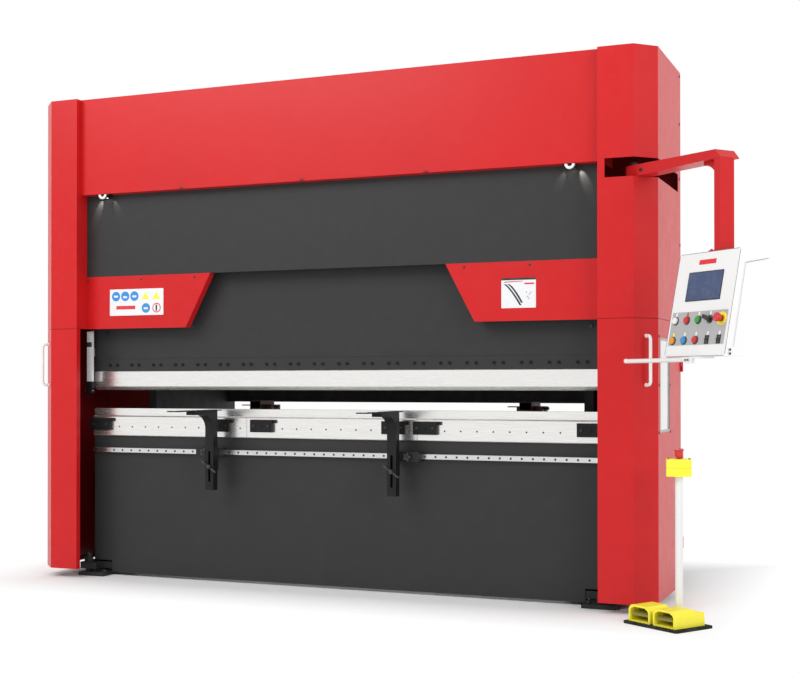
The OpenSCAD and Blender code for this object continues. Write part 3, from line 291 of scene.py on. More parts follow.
for part in frame["record"]["subparts"]:
    dress(part["node"], BY_SLOT[part["material_slot"]])
for n, m in (("front_panel", DARK), ("pendant", PENDANT), ("pendant_handle", WHITE), ("carriage_left", CARRIAGE),
             ("carriage_right", CARRIAGE), ("gauge_rails", GRIND), ("work_lamps", BLACK), ("front_rail", GRIND),
             ("pedal_left", PEDAL_SHADE_YELLOW), ("pedal_right", PEDAL_SHADE_YELLOW), ("machine_feet", FOOT)):
    dress(n, m)

HINGE = 0.012   # how far the door hinges stand out of the covers' sides
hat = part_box("column_covers")
# Columns and doors: red paint with painted shade on the insides of the folded sheet
for n, wall in (("column_covers", 0.103), ("door_left", 0.038), ("door_right", 0.038)):
    grp = group_cover(hat[1][0] - HINGE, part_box("header_cover")[1][0], hat[0][1], hat[0][1] + 0.713,
                      hat[1][2], 0.1, wall, NODES[n].matrix_world.translation)
    skin = material(n + "_paint", grp, COVER_RED, 0.32, 0.008, 0.04, 0.0002, Specular_IOR_Level=0.25)
    dress(n, skin)


# ---------------------------------------------------------------- surfaces
def soft_box(lo, hi, r, n=2):
    """Box with rounded edges: p = sign*(h - r) + r*d/|d|, d on the unit cube's surface."""
    lo, hi = np.array(lo, float), np.array(hi, float)
    lo, hi = np.minimum(lo, hi), np.maximum(lo, hi)
    h, c = (hi - lo) / 2, (hi + lo) / 2
    r = min(r, *(h * 0.98))
    q = np.concatenate([-np.linspace(1, 0, n + 1), np.linspace(0, 1, n + 1)])
    sg = np.concatenate([-np.ones(n + 1), np.ones(n + 1)])
    verts, faces, k = [], [], len(q)
    for ax in range(3):
        for s in (-1, 1):
            u, v = (ax + 1) % 3, (ax + 2) % 3
            a, b = np.meshgrid(np.arange(k), np.arange(k), indexing="ij")
            d = np.zeros((k * k, 3))
            g = np.zeros((k * k, 3))
            d[:, ax], g[:, ax] = s, s
            d[:, u], g[:, u] = q[a.ravel()], sg[a.ravel()]
            d[:, v], g[:, v] = q[b.ravel()], sg[b.ravel()]
            base = len(verts) * k * k
            verts.append(c + g * (h - r) + r * d / np.linalg.norm(d, axis=1)[:, None])
            for i in range(k - 1):
                for j in range(k - 1):
                    f0, f1 = base + i * k + j, base + (i + 1) * k + j
                    f = [f0, f1, f1 + 1, f0 + 1]
                    faces.append(f if s > 0 else f[::-1])
    return weld(np.vstack(verts), faces)


def weld(v, faces):
    """Merges equal points and drops faces that lose their area."""
    key = np.round(v * 1e7).astype(np.int64)
    _, first, inv = np.unique(key, axis=0, return_index=True, return_inverse=True)
    inv = inv.ravel()
    out = []
    for f in faces:
        g = [int(inv[i]) for i in f]
        g = [a for a, b in zip(g, g[1:] + g[:1]) if a != b]
        if len(set(g)) > 2:
            out.append(g)
    return v[first], out


def strips(count, n):
    """Quads between neighbouring rings: count rings of n points each."""
    faces = []
    for i in range(count - 1):
        for j in range(n):
            k = (j + 1) % n
            faces.append([i * n + j, i * n + k, (i + 1) * n + k, (i + 1) * n + j])
    return faces


def lathe(profile, n=32):
    """Surface of revolution about Z: (r cos t, r sin t, z) along a list of (r, z)."""
    t = np.arange(n) * 2 * math.pi / n
    rings = [np.column_stack([r * np.cos(t), r * np.sin(t), np.full(n, z)]) for r, z in profile]
    return weld(np.vstack(rings), strips(len(rings), n))


def tube(path, r, n=16):
    """Round tube swept along points, with parallel-transported rings; open ends are capped."""
    p = np.array(path, float)
    d = np.gradient(p, axis=0)
    d /= np.linalg.norm(d, axis=1)[:, None]
    a = np.cross(d[0], [0.3, 0.5, 0.81])
    a /= np.linalg.norm(a)
    t = np.arange(n) * 2 * math.pi / n
    rings = []
    for i in range(len(p)):
        a = a - d[i] * (a @ d[i])
        a /= np.linalg.norm(a)
        b = np.cross(d[i], a)
        rings.append(p[i] + r * (np.cos(t)[:, None] * a + np.sin(t)[:, None] * b))
    caps = [list(range(n))[::-1], [(len(p) - 1) * n + j for j in range(n)]]
    return np.vstack(rings), strips(len(p), n) + caps


def prism(poly, z0, z1, bev=0.0):
    """Polygon in XY carried from z0 to z1, its top edge chamfered by drawing the outline in by bev."""
    p = np.array(poly, float)
    n = len(p)
    area = 0.5 * np.sum(p[:, 0] * np.roll(p[:, 1], -1) - np.roll(p[:, 0], -1) * p[:, 1])
    if area < 0:
        p = p[::-1]
    levels = [(p, z0), (p, z1)]
    if bev:
        e = np.roll(p, -1, 0) - p
        e /= np.linalg.norm(e, axis=1)[:, None]
        nrm = np.column_stack([e[:, 1], -e[:, 0]])
        prev = np.roll(nrm, 1, 0)
        m = (nrm + prev) / (1 + np.sum(nrm * prev, 1))[:, None]
        levels = [(p, z0), (p, z1 - bev), (p - m * bev, z1)]
    v = np.vstack([np.column_stack([q, np.full(n, z)]) for q, z in levels])
    caps = [list(range(n))[::-1], [(len(levels) - 1) * n + j for j in range(n)]]
    return v, caps + strips(len(levels), n)


def round_rect(x0, y0, x1, y1, r, n=5):
    """Outline of a rectangle with round corners, counter-clockwise."""
    out = []
    for cx, cy, a0 in ((x1 - r, y0 + r, -90), (x1 - r, y1 - r, 0),
                       (x0 + r, y1 - r, 90), (x0 + r, y0 + r, 180)):
        for i in range(n + 1):
            a = math.radians(a0 + 90 * i / n)
            out.append((cx + r * math.cos(a), cy + r * math.sin(a)))
    return out


def disc(cx, cy, r, n=28):
    """Outline of a circle with n corners."""
    t = np.arange(n) * 2 * math.pi / n
    return np.column_stack([cx + r * np.cos(t), cy + r * np.sin(t)])


def at(vf, origin, x=X, y=Y, z=Z):
    """Moves a surface into the frame with that origin and those axes."""
    v, f = vf
    m = np.column_stack([x, y, z])
    flip = np.linalg.det(m) < 0
    return np.array(origin) + np.asarray(v) @ m.T, [g[::-1] for g in f] if flip else f


def cap_screw(r, h):
    """Socket head screw standing on z = 0: lathe of head, chamfer and recess."""
    return lathe([(0, 0), (r, 0), (r, h * 0.86), (r * 0.88, h), (r * 0.52, h), (r * 0.46, h * 0.35),
                  (0, h * 0.3)], 20)


def dome_screw(r, h):
    """Low domed screw head with a sunken middle."""
    return lathe([(0, 0), (r, 0), (r * 0.97, h * 0.45), (r * 0.75, h * 0.85), (r * 0.35, h),
                  (r * 0.28, h * 0.6), (0, h * 0.55)], 18)


def hex_nut(r, h):
    """Hexagon with a chamfered top edge."""
    t = np.arange(6) * math.pi / 3
    return prism(np.column_stack([r * np.cos(t), r * np.sin(t)]), 0, h, h * 0.12)


class Piece:
    """Surfaces with their own materials, gathered into one mesh that rides on a body."""

    SHARP = math.radians(35)   # edges at a wider angle than this stay sharp

    def __init__(self, name, body, slot):
        self.name, self.body, self.slot = name, body, slot
        self.v, self.f, self.m, self.s, self.mats, self.n = [], [], [], [], [], 0

    def add(self, vf, mat, origin=None, x=X, y=Y, z=Z, smooth=True):
        """Adds a surface (points, faces), moved into a frame where an origin is given."""
        v, f = at(vf, origin, x, y, z) if origin is not None else vf
        if mat not in self.mats:
            self.mats.append(mat)
        self.v.append(np.asarray(v, float))
        self.f += [[i + self.n for i in g] for g in f]
        self.m += [self.mats.index(mat)] * len(f)
        self.s += [smooth] * len(f)
        self.n += len(v)

    def make(self):
        """Builds the mesh and hands it to its body."""
        me = bpy.data.meshes.new(self.name)
        me.from_pydata(np.vstack(self.v).tolist(), [], self.f)
        for m in self.mats:
            me.materials.append(m)
        me.polygons.foreach_set("material_index", self.m)
        me.polygons.foreach_set("use_smooth", self.s)
        me.update()
        me.set_sharp_from_angle(angle=self.SHARP)
        o = bpy.data.objects.new(self.name, me)
        bpy.context.scene.collection.objects.link(o)
        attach(o, self.body)


def box_of(n):
    """A node's box at rest as two arrays."""
    lo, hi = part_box(n)
    return np.array(lo), np.array(hi)


def on_front(x, y, z):
    """Frame on a face that looks to -Y: right, up, out towards -Y."""
    return dict(origin=(x, y, z), x=X, y=Z, z=-Y)


def mark(piece, outline, z0, z1, mat, place, bev=0.0):
    """A flat mark: an outline carried from z0 to z1 over a face."""
    piece.add(prism(outline, z0, z1, bev), mat, **place, smooth=False)


# ---------------------------------------------------------------- covers: plates, screws, lamps
hd = box_of("header_cover")
wg = box_of("wing_covers")
cc = box_of("column_covers")
die = box_of("die")
ram = box_of("ram_plate")
hold = box_of("die_holders")
tab = box_of("table_beam")
rail = box_of("front_rail")
front_y = cc[0][1]          # the columns' flat fronts
side_x = cc[1][0] - HINGE   # outer side faces, without the hinges
col_in = hd[1][0]
wing_y = wg[0][1]
PLATE = 0.0016              # thickness of the two sign plates
PRINT = 0.0005              # height of a colour field over its plate


def blank(piece, x0, x1, z0, z1, r):
    """A white plate on the wing covers. Returns its width, its height and the frame on its face."""
    w, h = x1 - x0, z1 - z0
    mark(piece, round_rect(0, 0, w, h, r), 0, PLATE, SIGN_WHITE, on_front(x0, wing_y, z0), 0.0004)
    return w, h, on_front(x0, wing_y - PLATE, z0)


# Plain colour fields stand in for the safety symbols
sign = Piece("sign_plate", "machine", "white_paint")
w, h, o = blank(sign, -1.379, -1.015, 1.523, 1.676, 0.004)
SYMBOL = 0.028
for i in range(3):
    mark(sign, disc(0.043 + i * 0.063, h * 0.73, SYMBOL), 0, PRINT, SIGN_BLUE, o)
for i in range(2):
    x0 = 0.217 + i * 0.073
    mark(sign, [(x0, h * 0.6), (x0 + 0.054, h * 0.6), (x0 + 0.027, h * 0.6 + 0.041)], 0, PRINT, SIGN_YELLOW, o)
mark(sign, round_rect(0.0455, h * 0.235, 0.175, h * 0.37, 0.002), 0, PRINT, SIGN_RED, o)
mark(sign, disc(0.247, h * 0.27, SYMBOL), 0, PRINT, SIGN_BLUE, o)
mark(sign, disc(0.319, h * 0.27, SYMBOL), 0, PRINT, SIGN_RED, o)
mark(sign, disc(0.319, h * 0.27, 0.022), PRINT, 0.001, SIGN_WHITE, o)
for x0, z0 in ((0.043, 0.73), (0.106, 0.70), (0.169, 0.72), (0.247, 0.26)):
    spot_mark = round_rect(x0 - 0.014, h * z0 - 0.006, x0 + 0.014, h * z0 + 0.006, 0.004)
    mark(sign, spot_mark, PRINT, 0.0008, SIGN_WHITE, o)
mark(sign, round_rect(0.313, h * 0.27 - 0.018, 0.323, h * 0.27 + 0.018, 0.004), 0.001, 0.0014, SIGN_DARK, o)
sign.make()

# Plain fields and two plain curves stand in for the chart
chart = Piece("chart_plate", "machine", "white_paint")
w, h, o = blank(chart, 1.014, 1.198, 1.514, 1.668, 0.003)
INK = 0.0004                # height of a mark on this plate
mark(chart, round_rect(0.0, h - 0.011, w, h, 0.001), 0, INK, SIGN_DARK, o)
strip = [(0.013, h - 0.023), (0.115, h - 0.019), (0.115, h - 0.016), (0.060, h - 0.0165), (0.013, h - 0.0185)]
mark(chart, strip, 0, INK, SIGN_RED, o)
mark(chart, round_rect(0.123, h - 0.034, 0.175, h - 0.026, 0.001), 0, INK, SIGN_RED, o)
# A point of a curve: u = a + b * t ** p across the plate, v = 0.8 - c * t up it, t from 0 to 1
for a, b, c, power in ((0.09, 0.47, 0.715, 0.75), (0.19, 0.41, 0.63, 0.7)):
    line = [(w * (a + b * t ** power), h * (0.8 - c * t)) for t in np.linspace(0, 1, 24) ** 1.6]
    mark(chart, [(x + 0.0055, z) for x, z in line] + [(x - 0.0055, z) for x, z in line[::-1]], 0, INK, SIGN_DARK, o)
for x, z in ((0.134, 0.080), (0.150, 0.070), (0.158, 0.078), (0.140, 0.058), (0.146, 0.048)):
    mark(chart, disc(x, z, 0.004), 0, INK, FIELD, o)
chart.make()

screws = Piece("cover_screws", "machine", "machined")
top_z = wg[1][2]
for x in (-1.527, -1.165, -0.81, 0.81, 1.165, 1.527):
    screws.add(dome_screw(0.0065, 0.004), OXIDE, **on_front(x, wing_y, top_z - 0.02))
for s in (-1, 1):
    for y, z in ((0.680, 2.761), (0.680, 2.507), (0.677, 2.214), (0.695, 1.864)):
        screws.add(dome_screw(0.0075, 0.003), OXIDE, (s * side_x, y + front_y, z), Y * s, Z, X * s)
for x in (-0.86, -0.1, 0.62):
    screws.add(soft_box((-0.012, -0.004, 0), (0.012, 0.004, 0.004), 0.0015), PLASTIC,
               **on_front(x, hd[0][1], hd[0][2] + 0.006))
screws.make()

for s, body in ((-1, "door_left"), (1, "door_right")):
    p = Piece(body + "_trim", body, "machined")
    for y, z in ((0.120, 1.361), (0.120, 1.120), (0.118, 0.884), (0.398, 1.120), (0.413, 0.882)):
        p.add(dome_screw(0.0075, 0.003), OXIDE, (s * side_x, y + front_y, z), Y * s, Z, X * s)
    # Window gasket: a thin raised frame around the pane, and the pane itself
    y0, y1, z0, z1 = 0.148 + front_y, 0.382 + front_y, 0.892, 1.345
    out, lap = 0.008, 0.004
    for a, b in (((y0 - out, z0 - out), (y1 + out, z0 + lap)), ((y0 - out, z1 - lap), (y1 + out, z1 + out)),
                 ((y0 - out, z0), (y0 + lap, z1)), ((y1 - lap, z0), (y1 + out, z1))):
        rim = soft_box((s * (side_x - 0.004), *a), (s * (side_x + 0.0015), *b), 0.0012)
        # Painted shade: the rim along the window's back edge is darker grey than the other three
        p.add(rim, SEAM if a[0] > y1 - 0.01 else FIELD)
    p.add(soft_box((s * (side_x - 0.0035), y0 + 0.003, z0 + 0.003),
                   (s * (side_x - 0.0005), y1 - 0.003, z1 - 0.003), 0.001), PANE)
    p.make()

lamps = Piece("lamp_heads", "machine", "white_paint")
lamp_z = box_of("work_lamps")[0][2]
LAMP_X = hd[1][0] - 0.150   # the lamps' distance from the middle
for s in (-1, 1):
    c = np.array((s * LAMP_X, hd[0][1] + 0.03, lamp_z))
    lamps.add(lathe([(0, 0.006), (0.0175, 0.006), (0.019, 0.003), (0, 0.0)], 28), LENS, c)
    # Guard ring hanging in front of the lamp: a white half hoop with a black one behind it
    for rad, thick, back, m in ((0.0195, 0.0076, 0.0, WHITE_PL), (0.0300, 0.0036, 0.003, BLACK)):
        ring_y, ring_z = hd[0][1] + 0.001 + back, hd[0][2] - 0.0035
        arc = [(c[0] + rad * math.cos(t), ring_y, ring_z - rad * math.sin(t)) for t in np.linspace(0, math.pi, 28)]
        lamps.add(tube(arc, thick, 14), m)
lamps.make()

# ---------------------------------------------------------------- scales
sc = box_of("linear_scales")
rule = Piece("scale_marks", "machine", "white_paint")
rz0 = 1.142
ry = sc[0][1]
for s in (-1, 1):
    x0, x1 = s * (sc[1][0] - 0.033), s * sc[1][0]
    lo, hi = min(x0, x1), max(x0, x1)
    rule.add(soft_box((lo - 0.001, ry - 0.002, 1.344), (hi, ry + 0.004, 1.373), 0.001), PLASTIC)
    for i in range(1, 28):
        z = rz0 + i * 0.01
        if 1.34 < z < 1.377:   # behind the reading head
            continue
        ln = 0.018 if i % 5 == 0 else 0.009
        x0, x1, z0, z1 = lo + 0.003, lo + 0.003 + ln, z - 0.0006, z + 0.0006
        mark(rule, [(x0, z0), (x1, z0), (x1, z1), (x0, z1)], 0, 0.0004, SIGN_DARK, on_front(0, ry, 0))
    foot = sc[0][2]
    rule.add(soft_box((lo - 0.004, ry - 0.001, foot - 0.002), (hi + 0.001, ry + 0.030, foot + 0.068), 0.002), BLACK)
    rule.add(soft_box((lo - 0.022, ry + 0.004, foot + 0.012), (hi + 0.004, ry + 0.020, foot + 0.018), 0.001), ZINC)
rule.make()

# ---------------------------------------------------------------- tools
tools = Piece("tool_clamp_screws", "machine", "black_steel")
cl = box_of("die_clamps")
seg = (die[1][0] - die[0][0]) / 3
holder_y, holder_z = hold[0][1], hold[1][2]
clamp_y = cl[0][1] + 0.005
for i, places in enumerate(((0.061, 0.862), (0.101, 0.902), (0.051, 0.946))):
    for place in places:
        x = die[0][0] + i * seg + place
        for dx in (-0.045, 0.045):
            tools.add(cap_screw(0.0075, 0.006), OXIDE, **on_front(x + dx, clamp_y, holder_z - 0.051))
# Small black discs on the holders' front, eleven over each third of the die
hole_z = (tab[1][2] + holder_z) / 2 - 0.006
for i, shift in enumerate((0.025, -0.022, 0.0)):
    for k in range(11):
        x = die[0][0] + (i + 0.5) * seg + shift + (k - 5) * 0.090
        tools.add(lathe([(0, 0.001), (0.0044, 0.001), (0.0047, -0.0003), (0.0044, -0.0006), (0, -0.0004)], 20),
                  PLASTIC, (x, holder_y, hole_z), X, Z, Y)
tools.make()

# ---------------------------------------------------------------- ram, table and feet
rp = Piece("ram_details", "ram", "machined")
ram_y = ram[0][1]
for s in (-1, 1):
    for z in (1.42, 1.62):
        rp.add(cap_screw(0.011, 0.008), OXIDE, **on_front(s * 1.46, ram_y, z))
rp.make()

feet = Piece("foot_details", "machine", "machined")
for s in (-1, 1):
    for k in (-1, 1):
        x, y = s * (die[1][0] + 0.020), k * (front_y + 0.165)
        feet.add(lathe([(0.0185, 0.0), (0.032, 0.0), (0.0325, 0.0015), (0.031, 0.003), (0.0185, 0.003)], 36),
                 OXIDE, (x, y, 0.102))
        feet.add(lathe([(0, 0.0), (0.0172, 0.0), (0.0155, 0.0025), (0.0085, 0.0025), (0.008, -0.006),
                        (0, -0.006)], 24), OXIDE, (x, y, 0.124))
        x, y = s * (die[1][0] - 0.095), k * (front_y + 0.155)
        feet.add(hex_nut(0.014, 0.010), OXIDE, (x, y, 0.0215), smooth=False)
        feet.add(lathe([(0, 0.0), (0.018, 0.0), (0.0185, 0.0008), (0, 0.0018)], 24), OXIDE, (x, y, 0.02))
feet.make()

# Painted shade: flat black discs on the front rail stand in for the shade inside its holes, halfway between the
# pitch lines
rd = Piece("rail_hole_shade_discs", "machine", "machined")
rail_z = (rail[0][2] + rail[1][2]) / 2
RAIL_PITCH = 0.0595
for i in range(-26, 26):
    rd.add(lathe([(0, 0.001), (0.0058, 0.001), (0.0061, -0.0003), (0.0057, -0.0007), (0, -0.0005)], 20), PLASTIC,
           ((i + 0.5) * RAIL_PITCH, rail[0][1], rail_z), X, Z, Y)
rd.make()

# ---------------------------------------------------------------- sheet supports
for s, side_name in ((-1, "left"), (1, "right")):
    lo, hi = box_of("support_" + side_name)
    mid = (lo[0] + hi[0]) / 2
    sup = Piece("support_strip_" + side_name, "support_" + side_name, "machined")
    # Wear strip let into the top, with its screws
    sup.add(soft_box((mid - 0.012, lo[1] + 0.012, hi[2] - 0.0008),
                     (mid + 0.012, hi[1] - 0.012, hi[2] + 0.0009), 0.0008), GRIND)
    for k in range(4):
        y = lo[1] + 0.04 + k * (hi[1] - lo[1] - 0.08) / 3
        for dx in (0.024, -0.024):
            sup.add(dome_screw(0.0045, 0.0015), OXIDE, (mid + dx, y, hi[2] - 0.0003))
    sup.make()
    lever = Piece("lever_grip_" + side_name, "clamp_lever_" + side_name, "black_plastic")
    p = np.array(JOINTS["clamp_lever_%s_turn" % side_name]["pos_m"])
    ly = box_of("clamp_lever_" + side_name)[0][1]
    lever.add(lathe([(0, 0), (0.012, 0), (0.0125, -0.003), (0.010, -0.008), (0.007, -0.0095), (0, -0.01)], 28),
              PLASTIC, (p[0], ly, p[2]), X, -Z, Y)
    a = math.radians(-35)
    d = np.array((math.cos(a), 0, math.sin(a)))
    for k in (-1, 1):
        e = p + d * 0.040 * k
        lever.add(lathe([(0, -0.014), (0.0045, -0.0135), (0.0060, -0.006), (0.0062, 0.006), (0.005, 0.0135),
                         (0, 0.0145)], 20), PLASTIC, (e[0], ly + 0.0005, e[2]), np.cross(Y, d), Y, d)
    lever.make()
    knob = Piece("knob_cap_" + side_name, "star_knob_" + side_name, "black_plastic")
    p = np.array(JOINTS["star_knob_%s_turn" % side_name]["pos_m"])
    ky = box_of("star_knob_" + side_name)[0][1]
    knob.add(lathe([(0.0055, 0), (0.011, 0), (0.0135, -0.0015), (0.0125, -0.004), (0.0085, -0.0045),
                    (0.0055, -0.002)], 28), PLASTIC, (p[0], ky, p[2]), X, -Z, Y)
    for k in range(5):
        a = math.radians(k * 72)
        q = (p[0] + 0.015 * math.cos(a), ky, p[2] - 0.015 * math.sin(a))
        knob.add(lathe([(0, -0.003), (0.004, -0.0028), (0.0068, -0.001), (0.0078, 0.0015), (0, 0.0016)], 18),
                 PLASTIC, q, X, -Z, Y)
    knob.make()

# ---------------------------------------------------------------- pendant
jw = JOINTS["button_white_press"]
PN = -np.array(jw["axis"])
PX = np.array(JOINTS["rocker_left_tilt"]["axis"])
PY = np.cross(PN, PX)
pitch, across = 0.076, 0.005   # between columns of buttons; how far they sit left of the middle
row_t = (0.074, 0.166)         # heights of the two rows over the panel's lower edge
P0 = np.array(jw["pos_m"]) - PX * (-2 * pitch - across) - PY * row_t[1]
panel_len = math.hypot(0.096, 0.470)
face = 0.004                   # the panel's own thickness
half = 0.200                   # half its width


def panel(s, t, out=face):
    """Frame on the pendant's panel: s across, t up from its lower edge, out of it."""
    return dict(origin=P0 + PX * s + PY * t + PN * out, x=PX, y=PY, z=PN)


def plate(piece, s0, t0, s1, t1, r, h, mat, out=face):
    """A thin plate with round corners on the pendant's panel."""
    piece.add(prism(round_rect(s0, t0, s1, t1, r), 0, h, min(0.0003, h / 3)), mat, **panel(0, 0, out))


pd = Piece("pendant_front", "pendant", "white_paint")
# Screen: thin dark bezel, glass; below it the button field with its legend marks
plate(pd, -0.116, 0.254, 0.114, 0.389, 0.003, 0.0022, SIGN_DARK)
plate(pd, -0.112, 0.258, 0.110, 0.385, 0.002, 0.0028, SCREEN)
# A plain red bar where the real one carries a name, grey fields for the small print
plate(pd, -0.060, 0.422, 0.052, 0.444, 0.001, 0.0009, SIGN_RED)
plate(pd, -0.187, 0.052, 0.181, 0.206, 0.004, 0.0008, FIELD)
cols = [i * pitch - across for i in range(-2, 3)]
marks = ((SIGN_YELLOW, WHITE_PL, WHITE_PL, WHITE_PL, WHITE_PL),
         (WHITE_PL, RED_PL, WHITE_PL, WHITE_PL, None))
for t, row in zip(row_t, marks):
    for s, tint in zip(cols, row):
        if tint:
            plate(pd, s - 0.0055, t + 0.0185, s + 0.0055, t + 0.0375, 0.0052, 0.0008, tint, face + 0.0007)
bezel = face + 0.0006          # foot of the rings and bars round the controls
for t, s in [(row_t[0], c) for c in cols[:3]] + [(row_t[1], c) for c in cols[:4]]:
    pd.add(lathe([(0.0165, 0), (0.0195, 0), (0.0197, 0.0012), (0.0185, 0.003), (0.0168, 0.0034),
                  (0.0163, 0.0012)], 32), PLASTIC, **panel(s, t, bezel))
# Bezels round the two rockers: four thin bars each
for s in cols[3:]:
    w, h, wide, slim = 0.0125, 0.0195, 0.0088, 0.0040
    for a, b in (((-w, -h), (w, -h + wide)), ((-w, h - wide), (w, h)),
                 ((-w, -h), (-w + slim, h)), ((w - slim, -h), (w, h))):
        pd.add(soft_box((*a, 0), (*b, 0.0035), 0.0008), PLASTIC, **panel(s, row_t[0], bezel))
s5, t5 = cols[4], row_t[1]
pd.add(lathe([(0.0120, 0.001), (0.0140, 0.001), (0.0142, 0.004), (0.0124, 0.0045), (0.0120, 0.004)], 32),
       PLASTIC, **panel(s5, t5, bezel))
pd.add(lathe([(0.0135, 0), (0.030, 0), (0.0305, 0.001), (0.029, 0.0022), (0.0148, 0.0024), (0.0135, 0.0022)], 40),
       YELLOW, **panel(s5, t5, bezel))
# Dark seam between the panel and the case, short of the round corners
stop, thin = 0.008, 0.0022
for a, b in (((stop - half, 0), (half - stop, thin)), ((stop - half, panel_len - thin), (half - stop, panel_len)),
             ((-half, stop), (-half + thin, panel_len - stop)), ((half - thin, stop), (half, panel_len - stop))):
    pd.add(soft_box((*a, -0.0006), (*b, 0.0006), 0.0003), SEAM, **panel(0, 0))
pd.make()

# Case: screws on top and on the sides, painted-shade lines at the lid's fold and beside the panel
case = Piece("pendant_case_trim", "pendant", "white_paint")
AX = PX
AY = np.cross(Z, PX)
top_at = np.array(JOINTS["pendant_swivel"]["pos_m"])
top_z = box_of("pendant")[1][2]
hw = half - 0.001
for s in (-1, 1):
    for dy, dz in ((-0.150, -0.444), (-0.150, -0.461)):
        o = top_at + AX * hw * s + AY * dy
        case.add(dome_screw(0.0055, 0.002), OXIDE, (o[0], o[1], top_z + dz), AY * s, Z, AX * s)
    o = top_at + AX * hw * s
    # Painted shade on the side: a dark line at the fold of the lid, rising to the back, and a grey line that runs
    # down beside the panel
    side = dict(origin=(o[0], o[1], top_z), x=AY * s, y=Z, z=AX * s)
    for line, m in (([(-0.058, -0.065), (0.0745, -0.0412), (0.0745, -0.0392), (-0.058, -0.063)], SEAM),
                    ([(-0.0595, -0.063), (-0.058, -0.063), (-0.130, -0.43), (-0.1315, -0.43)], FIELD)):
        mark(case, [(s * y, z) for y, z in line], 0, 0.0009, m, side, 0.0002)
for dx in (-0.150, -0.060, 0.060, 0.150):
    o = top_at + AX * dx - AY * 0.072
    case.add(dome_screw(0.004, 0.0025), OXIDE, (o[0], o[1], top_z), AX, AY, Z)
case.make()

ph = Piece("handle_details", "pendant", "white_paint")
bar_c = top_at + AY * (-0.0825 - 0.096 - 0.030)
bz = top_z - 0.484
bar_len = 0.455
bar_r = 0.010
cap_r = bar_r + 0.0006
ph.add(lathe([(0, -0.003), (0.006, -0.0028), (0.0090, -0.001), (cap_r, 0.002), (cap_r, 0.012),
              (bar_r - 0.0002, 0.013), (0, 0.013)], 32), IVORY,
       (bar_c[0] - AX[0] * bar_len, bar_c[1] - AX[1] * bar_len, bz), Z, AY, AX)
for dx in (-0.008, 0.008):
    q = bar_c + AX * dx - AY * (bar_r + 0.004)
    ph.add(cap_screw(0.0042, 0.003), OXIDE, (q[0], q[1], bz - 0.002), AX, Z, -AY)
ph.make()

# ---------------------------------------------------------------- swinging arm
arm = Piece("arm_details", "control_arm", "cover_red")
piv = np.array(JOINTS["control_arm_swing"]["pos_m"])
d = top_at - piv
d[2] = 0
AR = d / np.linalg.norm(d)
AS = np.cross(Z, AR)
az0 = 2.140
arm_half = 0.041
# Bolt in the beam's side, welds at the post, screws of the foot plate
q = piv + AR * 0.108 - AS * arm_half
arm.add(cap_screw(0.0085, 0.006), OXIDE, (q[0], q[1], az0 + 0.026), AR, Z, -AS)
for b in (-1, 1):
    q = top_at - AR * 0.025 + AS * (arm_half + 0.0002) * b
    pts = [np.array((q[0], q[1], az0 - 0.001)) + AR * t for t in np.linspace(0.002, 0.038, 12)]
    arm.add(tube(pts, 0.0024, 10), RED)
for a in (-0.048, 0.048):
    for b in (-0.036, 0.036):
        q = top_at + AR * a + AS * b
        arm.add(cap_screw(0.0055, 0.005), OXIDE, (q[0], q[1], top_z + 0.012))
arm.make()

# ---------------------------------------------------------------- pedal stand
SX = np.array(JOINTS["pedal_left_press"]["axis"])
SY = np.cross(Z, SX)
post_p = np.array(JOINTS["stand_stop_press"]["pos_m"])
S0 = post_p - SX * 0.197 - SY * 0.171
S0[2] = 0


def stand(x, y, z):
    """Frame on the pedal stand's mat, its axes along and across the pedals."""
    return dict(origin=S0 + SX * x + SY * y + Z * z, x=SX, y=SY, z=Z)


mat = Piece("mat_ribs", "machine", "rubber")
for i in range(16):
    x0 = 0.012 + i * 0.0205
    mat.add(soft_box((x0, 0.012, 0.0115), (x0 + 0.009, 0.233, 0.0135), 0.0009, 1), RUBBER, **stand(0, 0, 0))
mat.make()

HOODS = (0.022, 0.178)   # where the two hoods begin on the mat
hood_mid = 0.068         # half a hood's width
hoods = Piece("hood_details", "machine", "yellow")
hood_top = box_of("pedal_hoods")[1][2]
arch = 0.030
for hx in HOODS:
    for k in range(3):
        y = 0.018 + 0.03 + k * 0.032
        pts = [S0 + SX * (hx + hood_mid + 0.038 * math.sin(t)) + SY * y
               + Z * (hood_top - arch + arch * math.cos(t) ** 0.35)
               for t in np.linspace(-math.pi / 2, math.pi / 2, 18)]
        hoods.add(tube(pts, 0.0016, 8), YELLOW)
hoods.make()

# Treads on the pedals, in the same yellow darkened by painted shade
for n, hx in zip(("pedal_left", "pedal_right"), HOODS):
    tr = Piece(n + "_tread", n, "black_plastic")
    for k in range(9):
        y = 0.018 + 0.014 + k * 0.0095
        tr.add(soft_box((-0.038, y, 0.0), (0.038, y + 0.004, 0.0022), 0.0008, 1), PEDAL_SHADE_YELLOW,
               **stand(hx + hood_mid, 0, 0.012 + 0.034 + 0.0095))
    tr.make()

# Screws in the stop box's lid, guard ring under the palm button
sb = Piece("stop_box_details", "machine", "yellow")
box_top = box_of("stop_box")[1][2]
turn = math.radians(43)
UX = SX * math.cos(turn) + SY * math.sin(turn)
UY = np.cross(Z, UX)
for sx in (-0.048, 0.048):
    for sy in (-0.036, 0.036):
        sb.add(cap_screw(0.0045, 0.0025), OXIDE, post_p * (1, 1, 0) + UX * sx + UY * sy + Z * box_top)
sb.add(lathe([(0.0120, 0), (0.0165, 0.0), (0.017, 0.0004), (0.0155, 0.0012), (0.0126, 0.0014),
              (0.0120, 0.0008)], 40), PLASTIC, post_p * (1, 1, 0) + Z * box_top)
sb.make()

# Cone at the post's foot
pb = Piece("post_foot", "machine", "yellow")
pb.add(lathe([(0.0184, 0.0), (0.031, 0.0), (0.0312, 0.003), (0.026, 0.022), (0.0215, 0.058), (0.0200, 0.062),
              (0.0184, 0.062)], 40), YELLOW, post_p * (1, 1, 0) + Z * 0.0125)
pb.make()

